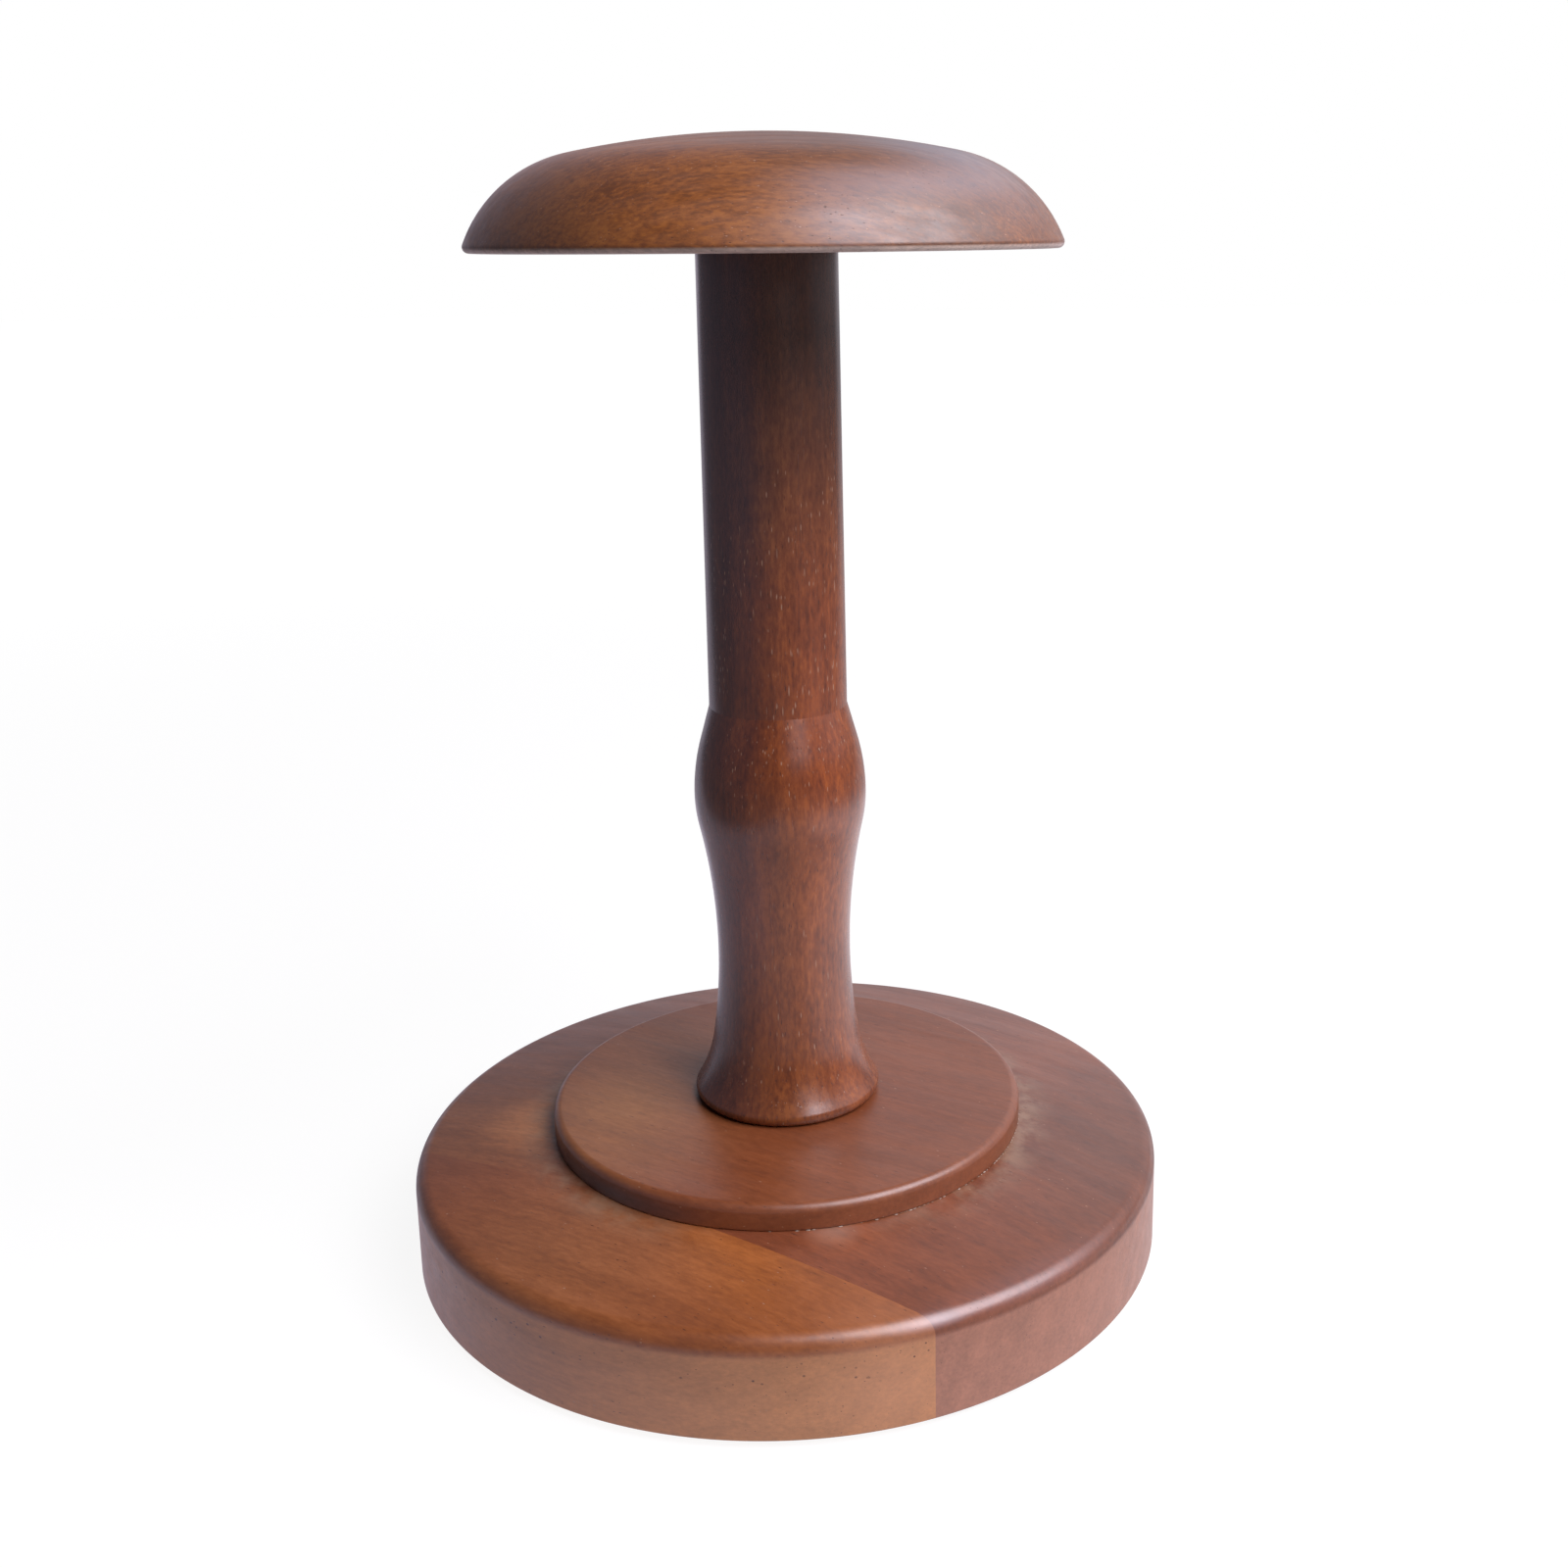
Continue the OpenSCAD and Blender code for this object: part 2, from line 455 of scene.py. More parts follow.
@dataclass(frozen=True)
class Pores:
    """One kind of pore in the wood.

    Attributes:
        tint: Colour of the pores.
        share: Share of the cells that hold a pore.
        length: Distance between pores along the grain.
        width: Distance between pores across the grain.
        low: Height at which these pores begin.
        high: Height at which they end.
        soft: Half the height over which they begin and end.
        depth: How far they sink into the surface.
    """

    tint: Colour
    share: float
    length: float
    width: float
    low: float = -1000.0
    high: float = 1000.0
    soft: float = 15.0
    depth: float = 0.03

    def mark(self, w: ShaderWriter, grain: Socket) -> Socket:
        """Marks these pores.

        Args:
            w: Writer of the material.
            grain: Coordinates with the grain along X.

        Returns:
            1 in a pore and 0 elsewhere.
        """
        across = 1 / (self.width * MM)
        distance, chance = w.cells(w.vector("MULTIPLY", grain, (1 / (self.length * MM), across, across)))
        size = w.math("MULTIPLY_ADD", chance, PORE_SPREAD / self.share, PORE_SIZE)
        core = w.between(w.math("DIVIDE", distance, size), *PORE_RIM)
        held = w.math("LESS_THAN", chance, self.share)
        crowd = w.between(PORE_CLUSTERS.mark(w, grain), *CROWDED)
        height = w.split(w.place())[2]
        begun = w.between(height, (self.low - self.soft) * MM, (self.low + self.soft) * MM)
        going = w.between(height, (self.high + self.soft) * MM, (self.high - self.soft) * MM)
        return w.fold("MULTIPLY", core, held, crowd, begun, going)


@dataclass(frozen=True)
class WallToneAndPaintedReflection:
    """A paler band on the upright wall of a turned disc: the wood's own tone on the base, a painted
    reflection of the floor along the cap's rim.

    Attributes:
        tint: Colour of the tone.
        share: How much of the wood's own colour it hides.
        top: Height at which it ends.
        soft: Width of the soft edge there.
        inner: Distance from the axis at which it begins.
    """

    tint: Colour
    share: float
    top: float
    soft: float
    inner: float = 0.0

    def lay(self, w: ShaderWriter, colour: Socket, tone: Socket) -> Socket:
        """Lays the tone on the wall.

        Args:
            w: Writer of the material.
            colour: Colour so far.
            tone: Place between the deep and the warm colour.

        Returns:
            The colour with the wall's tone.
        """
        here = w.place()
        edge = self.soft * MM / 2
        below = w.between(w.split(here)[2], self.top * MM + edge, self.top * MM - edge)
        outside = w.between(w.from_axis(here), self.inner * MM - edge, self.inner * MM + edge)
        dark, light = (tuple(level * c for c in self.tint) for level in WALL_LEVELS)
        return w.mix(w.fold("MULTIPLY", below, outside, self.share), colour, w.mix(tone, dark, light))


@dataclass(frozen=True)
class DustRing:
    """Fine pale dust on a flat top, along the foot of the disc that stands on it, most of it to its sides.

    Attributes:
        radius: Radius of that disc.
        width: Width over which the dust thins out.
        tint: Colour of the dust.
        share: How much of the wood's own colour it hides at most.
        sides: Distance to the left and right at which it begins, and at which it is thickest.
        patches: Levels of its noise between which it goes from bare to whole.
    """

    radius: float
    width: float
    tint: Colour
    share: float
    sides: Span = (10.0, 55.0)
    patches: Span = (0.36, 0.64)

    def lay(self, w: ShaderWriter, colour: Socket) -> Socket:
        """Lays the dust on the wood.

        Args:
            w: Writer of the material.
            colour: Colour so far.

        Returns:
            The colour with the dust.
        """
        here = w.place()
        near = w.between(w.from_axis(here), (self.radius + self.width) * MM, self.radius * MM)
        aside = w.between(w.math("ABSOLUTE", w.split(here)[0]), *(s * MM for s in self.sides))
        patch = w.between(DUST_PATCHES.mark(w, here), *self.patches)
        return w.mix(w.fold("MULTIPLY", near, aside, patch, self.share), colour, self.tint)


@dataclass(frozen=True)
class StainAndPaintedLight:
    """A broad soft patch that multiplies the wood's colour: a change in the stain in a few places, a painted
    light or painted shade in most.

    Attributes:
        centre: Middle of the patch, in millimetres in the part's frame.
        reach: Distance at which it has faded out.
        tint: What the wood's colour is multiplied by in the middle.
        rise: How many times taller than wide the patch is.
    """

    centre: Triple
    reach: float
    tint: Colour
    rise: float = 1.0

    def share(self, w: ShaderWriter) -> Socket:
        """Fades the patch out from its middle.

        Args:
            w: Writer of the material.

        Returns:
            1 in the middle of the patch, 0 beyond its reach.
        """
        away = w.vector("SUBTRACT", w.place(), [c * MM for c in self.centre])
        away = w.vector("MULTIPLY", away, (1.0, 1.0, 1.0 / self.rise))
        return w.between(w.vector("LENGTH", away), self.reach * MM, 0.0)

    def lay(self, w: ShaderWriter, colour: Socket) -> Socket:
        """The colour so far, with this patch in it."""
        return w.mix(self.share(w), colour, self.tint, "MULTIPLY")


@dataclass(frozen=True)
class PaintedLightFilm(StainAndPaintedLight):
    """A soft patch of painted light laid over the wood: painted highlights, painted reflections, and painted
    light where shade falls. Its tint is its own colour.

    Attributes:
        hides: How much of the wood it hides in the middle.
    """

    hides: float = 0.2

    def lay(self, w: ShaderWriter, colour: Socket) -> Socket:
        """The colour so far, with this painted light on it."""
        return w.mix(w.math("MULTIPLY", self.share(w), self.hides), colour, self.tint)


@dataclass(frozen=True)
class StainedWood:
    """Stained hardwood under satin lacquer.

    Attributes:
        name: Name of the material.
        deep: Colour of the dark growth bands.
        middle: Colour between them.
        warm: Colour of the light bands.
        turn: Turn in degrees that lays the grain along X.
        shift: Shift of the pattern in millimetres.
        pith: Place of the tree's heart across the grain, in millimetres.
        ring: Width of a growth band.
        figure: Strength of the growth bands.
        streaks: Strength of the long streaks.
        mottle: Strength of the short patches along the grain.
        fleck: Strength of the finest flecks.
        fleck_size: Size of those flecks beside the plain ones.
        pores: Kinds of pores.
        stains_and_painted_light: Broad patches of stain, and of painted light and painted shade.
        painted_light_films: Patches of painted light on the wood: painted highlights, painted reflections,
            and painted light where shade falls.
        gloss: Roughness of the lacquer.
        sheen_lines: How much the lacquer's roughness changes along the grain.
        dust: Share of fine dust that shows as a haze where the surface is seen edge on.
        wall: Paler band on the wall, where the piece has one: the wood's own tone on the base, a painted
            reflection along the cap's rim.
        foot_dust: Dust along the foot of the disc above, where there is any.
    """

    name: str
    deep: Colour
    middle: Colour
    warm: Colour
    turn: Triple
    shift: Triple
    pith: Point = (25.0, -70.0)
    ring: float = 5.0
    figure: float = 0.3
    streaks: float = 0.4
    mottle: float = 0.6
    fleck: float = 1.0
    fleck_size: float = 1.0
    pores: tuple[Pores, ...] = ()
    stains_and_painted_light: tuple[StainAndPaintedLight, ...] = ()
    painted_light_films: tuple[PaintedLightFilm, ...] = ()
    gloss: float = 0.4
    sheen_lines: float = 0.24
    dust: float = 0.0
    wall: WallToneAndPaintedReflection | None = None
    foot_dust: DustRing | None = None

    def material(self) -> bpy.types.Material:
        """Builds the material.

        Returns:
            The material.
        """
        material, w, surface = new_shader(self.name)
        grain = w.place(self.turn, [s * MM for s in self.shift])
        tone = self._tone(w, grain)
        colour = w.ramp(tone, tuple(zip(TONE_STOPS, (self.deep, self.middle, self.warm))))
        # Patches of stain, and of painted light and painted shade.
        for patch in self.stains_and_painted_light:
            colour = patch.lay(w, colour)
        if self.wall is not None:
            colour = self.wall.lay(w, colour, tone)
        # Painted highlights, painted reflections and painted light over the colour so far.
        for painted_patch in self.painted_light_films:
            colour = painted_patch.lay(w, colour)
        if self.foot_dust is not None:
            colour = self.foot_dust.lay(w, colour)
        pits: Socket | None = None
        for kind in self.pores:
            mark = kind.mark(w, grain)
            colour = w.mix(mark, colour, kind.tint)
            pits = w.bump(w.math("SUBTRACT", 1.0, mark), kind.depth, pits)
        peel = LACQUER_PEEL.mark(w, w.place())
        lines = SHEEN_LINES.mark(w, grain)
        swing = self.sheen_lines / 2
        inputs = {
            "Base Color": colour,
            "Normal": w.bump(peel, PEEL_DEPTH, pits),
            "Roughness": w.level(lines, self.gloss - swing, self.gloss + swing),
            "IOR": LACQUER_IOR,
            "Sheen Weight": self.dust,
            "Sheen Roughness": HAZE_ROUGHNESS,
            "Sheen Tint": (*HAZE_TINT, 1.0),
        }
        w.fill(surface, inputs)
        return material

    def _tone(self, w: ShaderWriter, grain: Socket) -> Socket:
        """Place of each point between the deep and the warm colour.

        Args:
            w: Writer of the material.
            grain: Coordinates with the grain along X.

        Returns:
            The tone, from 0 to 1.
        """
        sway = w.vector("SUBTRACT", GRAIN_SWAY.mark(w, grain, output="Color"), (0.5, 0.5, 0.5))
        bent = w.vector("ADD", grain, w.vector("MULTIPLY", sway, (0.0, SWAY_REACH * MM, SWAY_REACH * MM)))
        heart = (0.0, *(p * MM for p in self.pith))
        out = w.vector("SUBTRACT", w.vector("MULTIPLY", bent, (BAND_DRIFT, 1.0, 1.0)), heart)
        count = w.math("DIVIDE", w.vector("LENGTH", out), self.ring * MM)
        layers = (
            (w.bands(count, BAND_DETAIL, BAND_ROUGH), BAND_GAIN * self.figure),
            (STREAKS.mark(w, bent), STREAK_GAIN * self.streaks),
            (FIBRES.mark(w, grain), FIBRE_STRENGTH),
            (FLECKS.mark(w, grain, self.fleck_size), self.fleck),
            (MOTTLE.mark(w, bent), self.mottle),
            (BLOTCHES.mark(w, grain), BLOTCH_STRENGTH),
        )
        tone: Any = 0.5
        for pattern, strength in layers:
            tone = w.math("MULTIPLY_ADD", w.math("SUBTRACT", pattern, 0.5), strength, tone)
        return w.math("ADD", tone, 0.0, clamp=True)


@dataclass(frozen=True)
class PlatedMetal:
    """Plated or machined metal with fine scratches.

    Attributes:
        name: Name of the material.
        bright: Colour of the metal.
        dull: Colour where it has dulled.
        rough: Roughness between and in the scratches.
        dulled: Levels of the tarnish between which the metal goes from bright to dull.
        depth: Depth of the scratches.
    """

    name: str
    bright: Colour
    dull: Colour
    rough: Span
    dulled: Span = (0.35, 0.7)
    depth: float = 0.004

    def material(self) -> bpy.types.Material:
        """Builds the material.

        Returns:
            The material.
        """
        material, w, surface = new_shader(self.name)
        here = w.place()
        scratch = SCRATCHES.mark(w, here)
        inputs = {
            "Base Color": w.mix(w.between(TARNISH.mark(w, here), *self.dulled), self.bright, self.dull),
            "Roughness": w.level(scratch, *self.rough),
            "Normal": w.bump(scratch, self.depth),
            "Metallic": 1.0,
        }
        w.fill(surface, inputs)
        return material


@dataclass(frozen=True)
class PressedFelt:
    """Dense pressed felt with matted fibres.

    Attributes:
        name: Name of the material.
        dark: Colour in the hollows.
        light: Colour of the fibres on top.
        matted: How far the fibres are swirled.
        hollow: Levels of the fibres between which they go from dark to light.
        depth: Depth of the hollows.
    """

    name: str
    dark: Colour
    light: Colour
    matted: float = 4.0
    hollow: Span = (0.3, 0.72)
    depth: float = 0.25

    def material(self) -> bpy.types.Material:
        """Builds the material.

        Returns:
            The material.
        """
        material, w, surface = new_shader(self.name)
        here = w.place()
        swirl = w.vector("MULTIPLY", FELT_SWIRL.mark(w, here, output="Color"), (self.matted * MM,) * 3)
        fibre = FELT_FIBRES.mark(w, w.vector("ADD", here, swirl))
        inputs = {
            "Base Color": w.mix(w.between(fibre, *self.hollow), self.dark, self.light),
            "Normal": w.bump(fibre, self.depth),
            "Roughness": 0.95,
            "Sheen Weight": 0.35,
            "Sheen Roughness": 0.5,
        }
        w.fill(surface, inputs)
        return material


@dataclass(frozen=True)
class DriedGlue:
    """Pale glue that has squeezed out of a seam and dried.

    Attributes:
        name: Name of the material.
        thin: Colour where it is thin.
        thick: Colour where it stands proud.
        cloudy: Levels of its noise between which it goes from thin to thick.
        rough: Roughness where it is thin and where it is thick.
    """

    name: str
    thin: Colour
    thick: Colour
    cloudy: Span = (0.35, 0.65)
    rough: Span = (0.15, 0.45)

    def material(self) -> bpy.types.Material:
        """Builds the material.

        Returns:
            The material.
        """
        material, w, surface = new_shader(self.name)
        cloud = GLUE_CLOUDS.mark(w, w.place())
        colour = w.mix(w.between(cloud, *self.cloudy), self.thin, self.thick)
        w.fill(surface, {"Base Color": colour, "Roughness": w.level(cloud, *self.rough)})
        return material


def harden(piece: bpy.types.Object) -> None:
    """Keeps what a piece's modifiers make as its plain mesh, and takes the modifiers off.

    Args:
        piece: The object.
    """
    bpy.context.view_layer.update()
    ready = piece.evaluated_get(bpy.context.evaluated_depsgraph_get())
    mesh = bpy.data.meshes.new_from_object(ready)
    piece.modifiers.clear()
    mesh.name = piece.name
    piece.data = mesh


def tidy(piece: bpy.types.Object, crease: float = 12.0) -> bpy.types.Object:
    """Turns the faces outwards and keeps crisp edges crisp.

    Args:
        piece: The object.
        crease: Turn in degrees past which an edge stays crisp.

    Returns:
        The same object.
    """
    shape = bmesh.new()
    shape.from_mesh(piece.data)
    bmesh.ops.recalc_face_normals(shape, faces=shape.faces)
    for face in shape.faces:
        face.smooth = True
    shape.to_mesh(piece.data)
    shape.free()
    piece.data.set_sharp_from_angle(angle=math.radians(crease))
    return piece


def settle(piece: bpy.types.Object, node: str) -> None:
    """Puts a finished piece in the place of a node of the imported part.

    Args:
        piece: The piece.
        node: The node that it stands for.
    """
    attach(piece, BODY)
    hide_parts(node)
    log.info("%s stands for %s with %d faces", piece.name, node, len(piece.data.polygons))


class PieceTree:
    """A Geometry Nodes tree with named inputs, which makes pieces."""

    def __init__(self, name: str, inputs: dict[str, str], output: str) -> None:
        """Makes the tree with its sockets.

        Args:
            name: Name of the tree.
            inputs: Kind of each input by its name.
            output: Name of the output.
        """
        self.tree = bpy.data.node_groups.new(name, "GeometryNodeTree")
        self.sockets: dict[str, Any] = {}
        for label, kind in inputs.items():
            socket = self.tree.interface.new_socket(label, in_out="INPUT", socket_type=f"NodeSocket{kind}")
            self.sockets[label] = socket
        self.tree.interface.new_socket(output, in_out="OUTPUT", socket_type="NodeSocketGeometry")
        self.write(NodeWriter(self.tree))

    def write(self, w: NodeWriter) -> None:
        """Writes the tree's nodes, each kind of tree its own."""
        raise NotImplementedError

    def deliver(self, w: NodeWriter, shape: Socket, finish: Socket) -> None:
        """Ends the tree in real meshes with their finish.

        Args:
            w: Writer of the tree.
            shape: What the tree has made.
            finish: Material of it.
        """
        real = w.add("GeometryNodeRealizeInstances", {"Geometry": shape})
        dressed = w.add("GeometryNodeSetMaterial", {"Geometry": real.outputs[0], "Material": finish})
        w.add("NodeGroupOutput", {0: dressed.outputs[0]})

    def grow(self, piece: bpy.types.Object, values: dict[str, Any]) -> None:
        """Runs the tree on a piece and keeps the result as its mesh.

        Args:
            piece: The object.
            values: Value of each of the tree's inputs by its name.
        """
        modifier = piece.modifiers.new(self.tree.name, "NODES")
        modifier.node_group = self.tree
        for label, value in values.items():
            modifier[self.sockets[label].identifier] = value
        harden(piece)


class Lathe(PieceTree):
    """Turns outlines into solids, with a thread where one is marked."""

    def __init__(self) -> None:
        """Makes the tree with its named inputs."""
        inputs = {
            "Outline": "Geometry",
            "Around": "Int",
            "Thread pitch": "Float",
            "Thread depth": "Float",
            "Finish": "Material",
        }
        super().__init__("turning_lathe", inputs, "Solid")

    def write(self, w: NodeWriter) -> None:
        """Writes a grid whose rows follow the outline and whose columns go round the axis.

        Args:
            w: Writer of the tree.
        """
        given = w.add("NodeGroupInput").outputs
        outline = given["Outline"]
        around = given["Around"]
        size = w.add("GeometryNodeAttributeDomainSize", {"Geometry": outline}, component="MESH")
        rows = size.outputs["Point Count"]
        grid = w.add("GeometryNodeMeshGrid", {"Vertices X": w.math("ADD", around, 1.0), "Vertices Y": rows})
        index = w.add("GeometryNodeInputIndex").outputs[0]
        column = w.math("FLOOR", w.math("DIVIDE", w.math("ADD", index, 0.5), rows))
        row = w.math("SUBTRACT", index, w.math("MULTIPLY", column, rows))
        spot = w.add("GeometryNodeInputPosition").outputs[0]
        mark = w.add("GeometryNodeInputNamedAttribute", {"Name": "thread"}, data_type="FLOAT").outputs[0]
        read = []
        for value, kind in ((spot, "FLOAT_VECTOR"), (mark, "FLOAT")):
            inputs = {"Geometry": outline, "Value": value, "Index": row}
            sample = w.add("GeometryNodeSampleIndex", inputs, data_type=kind, domain="POINT")
            read.append(sample.outputs[0])
        radius, _, height = w.split(read[0])
        share = w.math("DIVIDE", column, around)
        winding = w.math("SUBTRACT", w.math("DIVIDE", height, given["Thread pitch"]), share)
        ridge = w.math("ABSOLUTE", w.math("MULTIPLY_ADD", w.math("FRACT", winding), 2.0, -1.0))
        sunk = w.fold("MULTIPLY", ridge, given["Thread depth"], read[1])
        radius = w.math("SUBTRACT", radius, sunk)
        angle = w.math("MULTIPLY", share, math.tau)
        x, y = (w.math("MULTIPLY", radius, w.math(wave, angle)) for wave in ("COSINE", "SINE"))
        bent = {"Geometry": grid.outputs["Mesh"], "Position": w.join(x, y, height)}
        shape = w.add("GeometryNodeSetPosition", bent)
        closed = w.add("GeometryNodeMergeByDistance", {"Geometry": shape.outputs[0], "Distance": 1e-6})
        smooth = w.add("GeometryNodeSetShadeSmooth", {"Geometry": closed.outputs[0]})
        self.deliver(w, smooth.outputs[0], given["Finish"])

    def turn(
        self,
        name: str,
        outline: Sequence[Point],
        facets: Facets,
        finish: bpy.types.Material,
        thread: Span = (1.0, 0.0),
        threaded: Sequence[float] = (),
    ) -> bpy.types.Object:
        """Turns one solid.

        Args:
            name: Name of the piece.
            outline: Radius and height of each point, in millimetres.
            facets: How many facets go round.
            finish: Material of the piece.
            thread: Pitch and depth of a thread, in millimetres.
            threaded: For each point, how much of the thread is cut there.

        Returns:
            The piece as a plain mesh.
        """
        mesh = bpy.data.meshes.new(name)
        points = [(r * MM, 0.0, z * MM) for r, z in outline]
        mesh.from_pydata(points, [(i, i + 1) for i in range(len(points) - 1)], [])
        mark = mesh.attributes.new("thread", "FLOAT", "POINT")
        mark.data.foreach_set("value", list(threaded) or [0.0] * len(points))
        piece = show(name, mesh)
        values = {
            "Around": facets.value,
            "Thread pitch": thread[0] * MM,
            "Thread depth": thread[1] * MM,
            "Finish": finish,
        }
        self.grow(piece, values)
        return tidy(piece)


class GlueLine(PieceTree):
    """Lays beads of dried glue along a circle, most of them to its front right."""

    # How far the glue's side lies to the right and to the front, and where along it the beads thicken.
    side: Span = (0.75, 0.66)
    start: float = 0.8
    gain: float = 1.6
    bare: float = 0.1
    patch_rate: float = 34.0
    smallest: float = 0.45

    def __init__(self) -> None:
        """Makes the tree with its named inputs."""
        inputs = {
            "Geometry": "Geometry",
            "Radius": "Float",
            "Height": "Float",
            "Count": "Int",
            "Length": "Float",
            "Width": "Float",
            "Seed": "Int",
            "Finish": "Material",
        }
        super().__init__("glue_beads", inputs, "Beads")

    def write(self, w: NodeWriter) -> None:
        """Writes a circle of points, some of which take a bead.

        Args:
            w: Writer of the tree.
        """
        given = w.add("NodeGroupInput").outputs
        round_of = {"Resolution": given["Count"], "Radius": given["Radius"]}
        ring = w.add("GeometryNodeCurvePrimitiveCircle", round_of, mode="RADIUS")
        raise_by = {"Geometry": ring.outputs["Curve"], "Translation": w.join(0.0, 0.0, given["Height"])}
        raised = w.add("GeometryNodeTransform", raise_by)
        spots = w.add("GeometryNodeCurveToPoints", {"Curve": raised.outputs[0]}, mode="EVALUATED").outputs
        chance = w.add("FunctionNodeRandomValue", {"Seed": given["Seed"]}, data_type="FLOAT").outputs[1]
        patch = w.add("ShaderNodeTexNoise", {"Scale": self.patch_rate}, noise_dimensions="3D").outputs["Fac"]
        x, y, _ = w.split(w.add("GeometryNodeInputPosition").outputs[0])
        facing = w.math("SUBTRACT", w.math("MULTIPLY", x, self.side[0]), w.math("MULTIPLY", y, self.side[1]))
        thick = w.math("SUBTRACT", w.math("DIVIDE", facing, given["Radius"]), self.start)
        wanted = w.math("ADD", w.math("MULTIPLY", thick, self.gain), patch)
        kept = w.math("LESS_THAN", chance, w.math("SUBTRACT", wanted, self.bare))
        ball = w.add("GeometryNodeMeshUVSphere", {"Segments": 8, "Rings": 6, "Radius": 0.5})
        spread = {2: self.smallest, 3: 1.0, "Seed": w.math("ADD", given["Seed"], 1.0)}
        size = w.add("FunctionNodeRandomValue", spread, data_type="FLOAT").outputs[1]
        width = w.math("MULTIPLY", given["Width"], size)
        inputs = {
            "Points": spots["Points"],
            "Selection": kept,
            "Instance": ball.outputs["Mesh"],
            "Rotation": spots["Rotation"],
            "Scale": w.join(width, width, w.math("MULTIPLY", given["Length"], size)),
        }
        beads = w.add("GeometryNodeInstanceOnPoints", inputs)
        self.deliver(w, beads.outputs[0], given["Finish"])


PALE_PORE: Colour = (0.4, 0.22, 0.14)
DARK_PORE: Colour = (0.07, 0.02, 0.009)

# Plate and boards have their grain along the glue line. The plate and the rear board share their pores.
GRAIN_ANGLE = -34.0
BOARD_TURN: Triple = (0.0, 0.0, -GRAIN_ANGLE)
BOARD_PORES = (Pores(DARK_PORE, 0.1, 4.0, 0.4), Pores(PALE_PORE, 0.025, 1.4, 0.5))

CAP_WOOD = StainedWood(
    "cap_wood",
    deep=(0.13, 0.038, 0.008),
    middle=(0.205, 0.062, 0.012),
    warm=(0.28, 0.091, 0.018),
    turn=(4.0, -5.0, -2.0),
    shift=(31.0, 12.0, 0.0),
    pith=(-20.0, 190.0),
    ring=7.0,
    streaks=0.6,
    mottle=0.42,
    fleck=2.0,
    fleck_size=0.9,
    pores=(Pores(DARK_PORE, 0.2, 1.2, 0.45), Pores(PALE_PORE, 0.1, 1.0, 0.45)),
    # Painted light on the front; painted shade on the left, on the crown, to the right and under the
    # highlight on the right of the rim.
    stains_and_painted_light=(
        StainAndPaintedLight((-17.0, -72.0, 266.0), 42.0, (1.4, 1.4, 1.1)),
        StainAndPaintedLight((-56.0, -44.0, 268.0), 40.0, (0.84, 0.93, 0.92)),
        StainAndPaintedLight((16.0, -34.0, 288.0), 60.0, (0.6, 0.64, 0.7)),
        StainAndPaintedLight((62.0, -10.0, 275.0), 60.0, (0.74, 0.76, 0.82)),
        StainAndPaintedLight((41.0, -59.0, 266.0), 26.0, (0.62, 0.6, 0.55), rise=0.5),
    ),
    # Painted bluish reflections and a painted highlight on the right shoulder.
    painted_light_films=(
        PaintedLightFilm((42.0, -30.0, 284.0), 32.0, (0.25, 0.36, 0.48), hides=0.3),
        PaintedLightFilm((30.0, -56.0, 277.5), 40.0, (0.33, 0.3, 0.335), rise=0.16, hides=0.4),
        PaintedLightFilm((15.0, -68.0, 270.0), 16.0, (0.3, 0.3, 0.38), hides=0.15),
    ),
    gloss=0.485,
    sheen_lines=0.5,
    dust=0.18,
    # Paler band along the rim's underside: a painted reflection of the floor.
    wall=WallToneAndPaintedReflection((0.85, 0.66, 0.56), 0.85, 264.0, soft=0.8, inner=71.0),
)
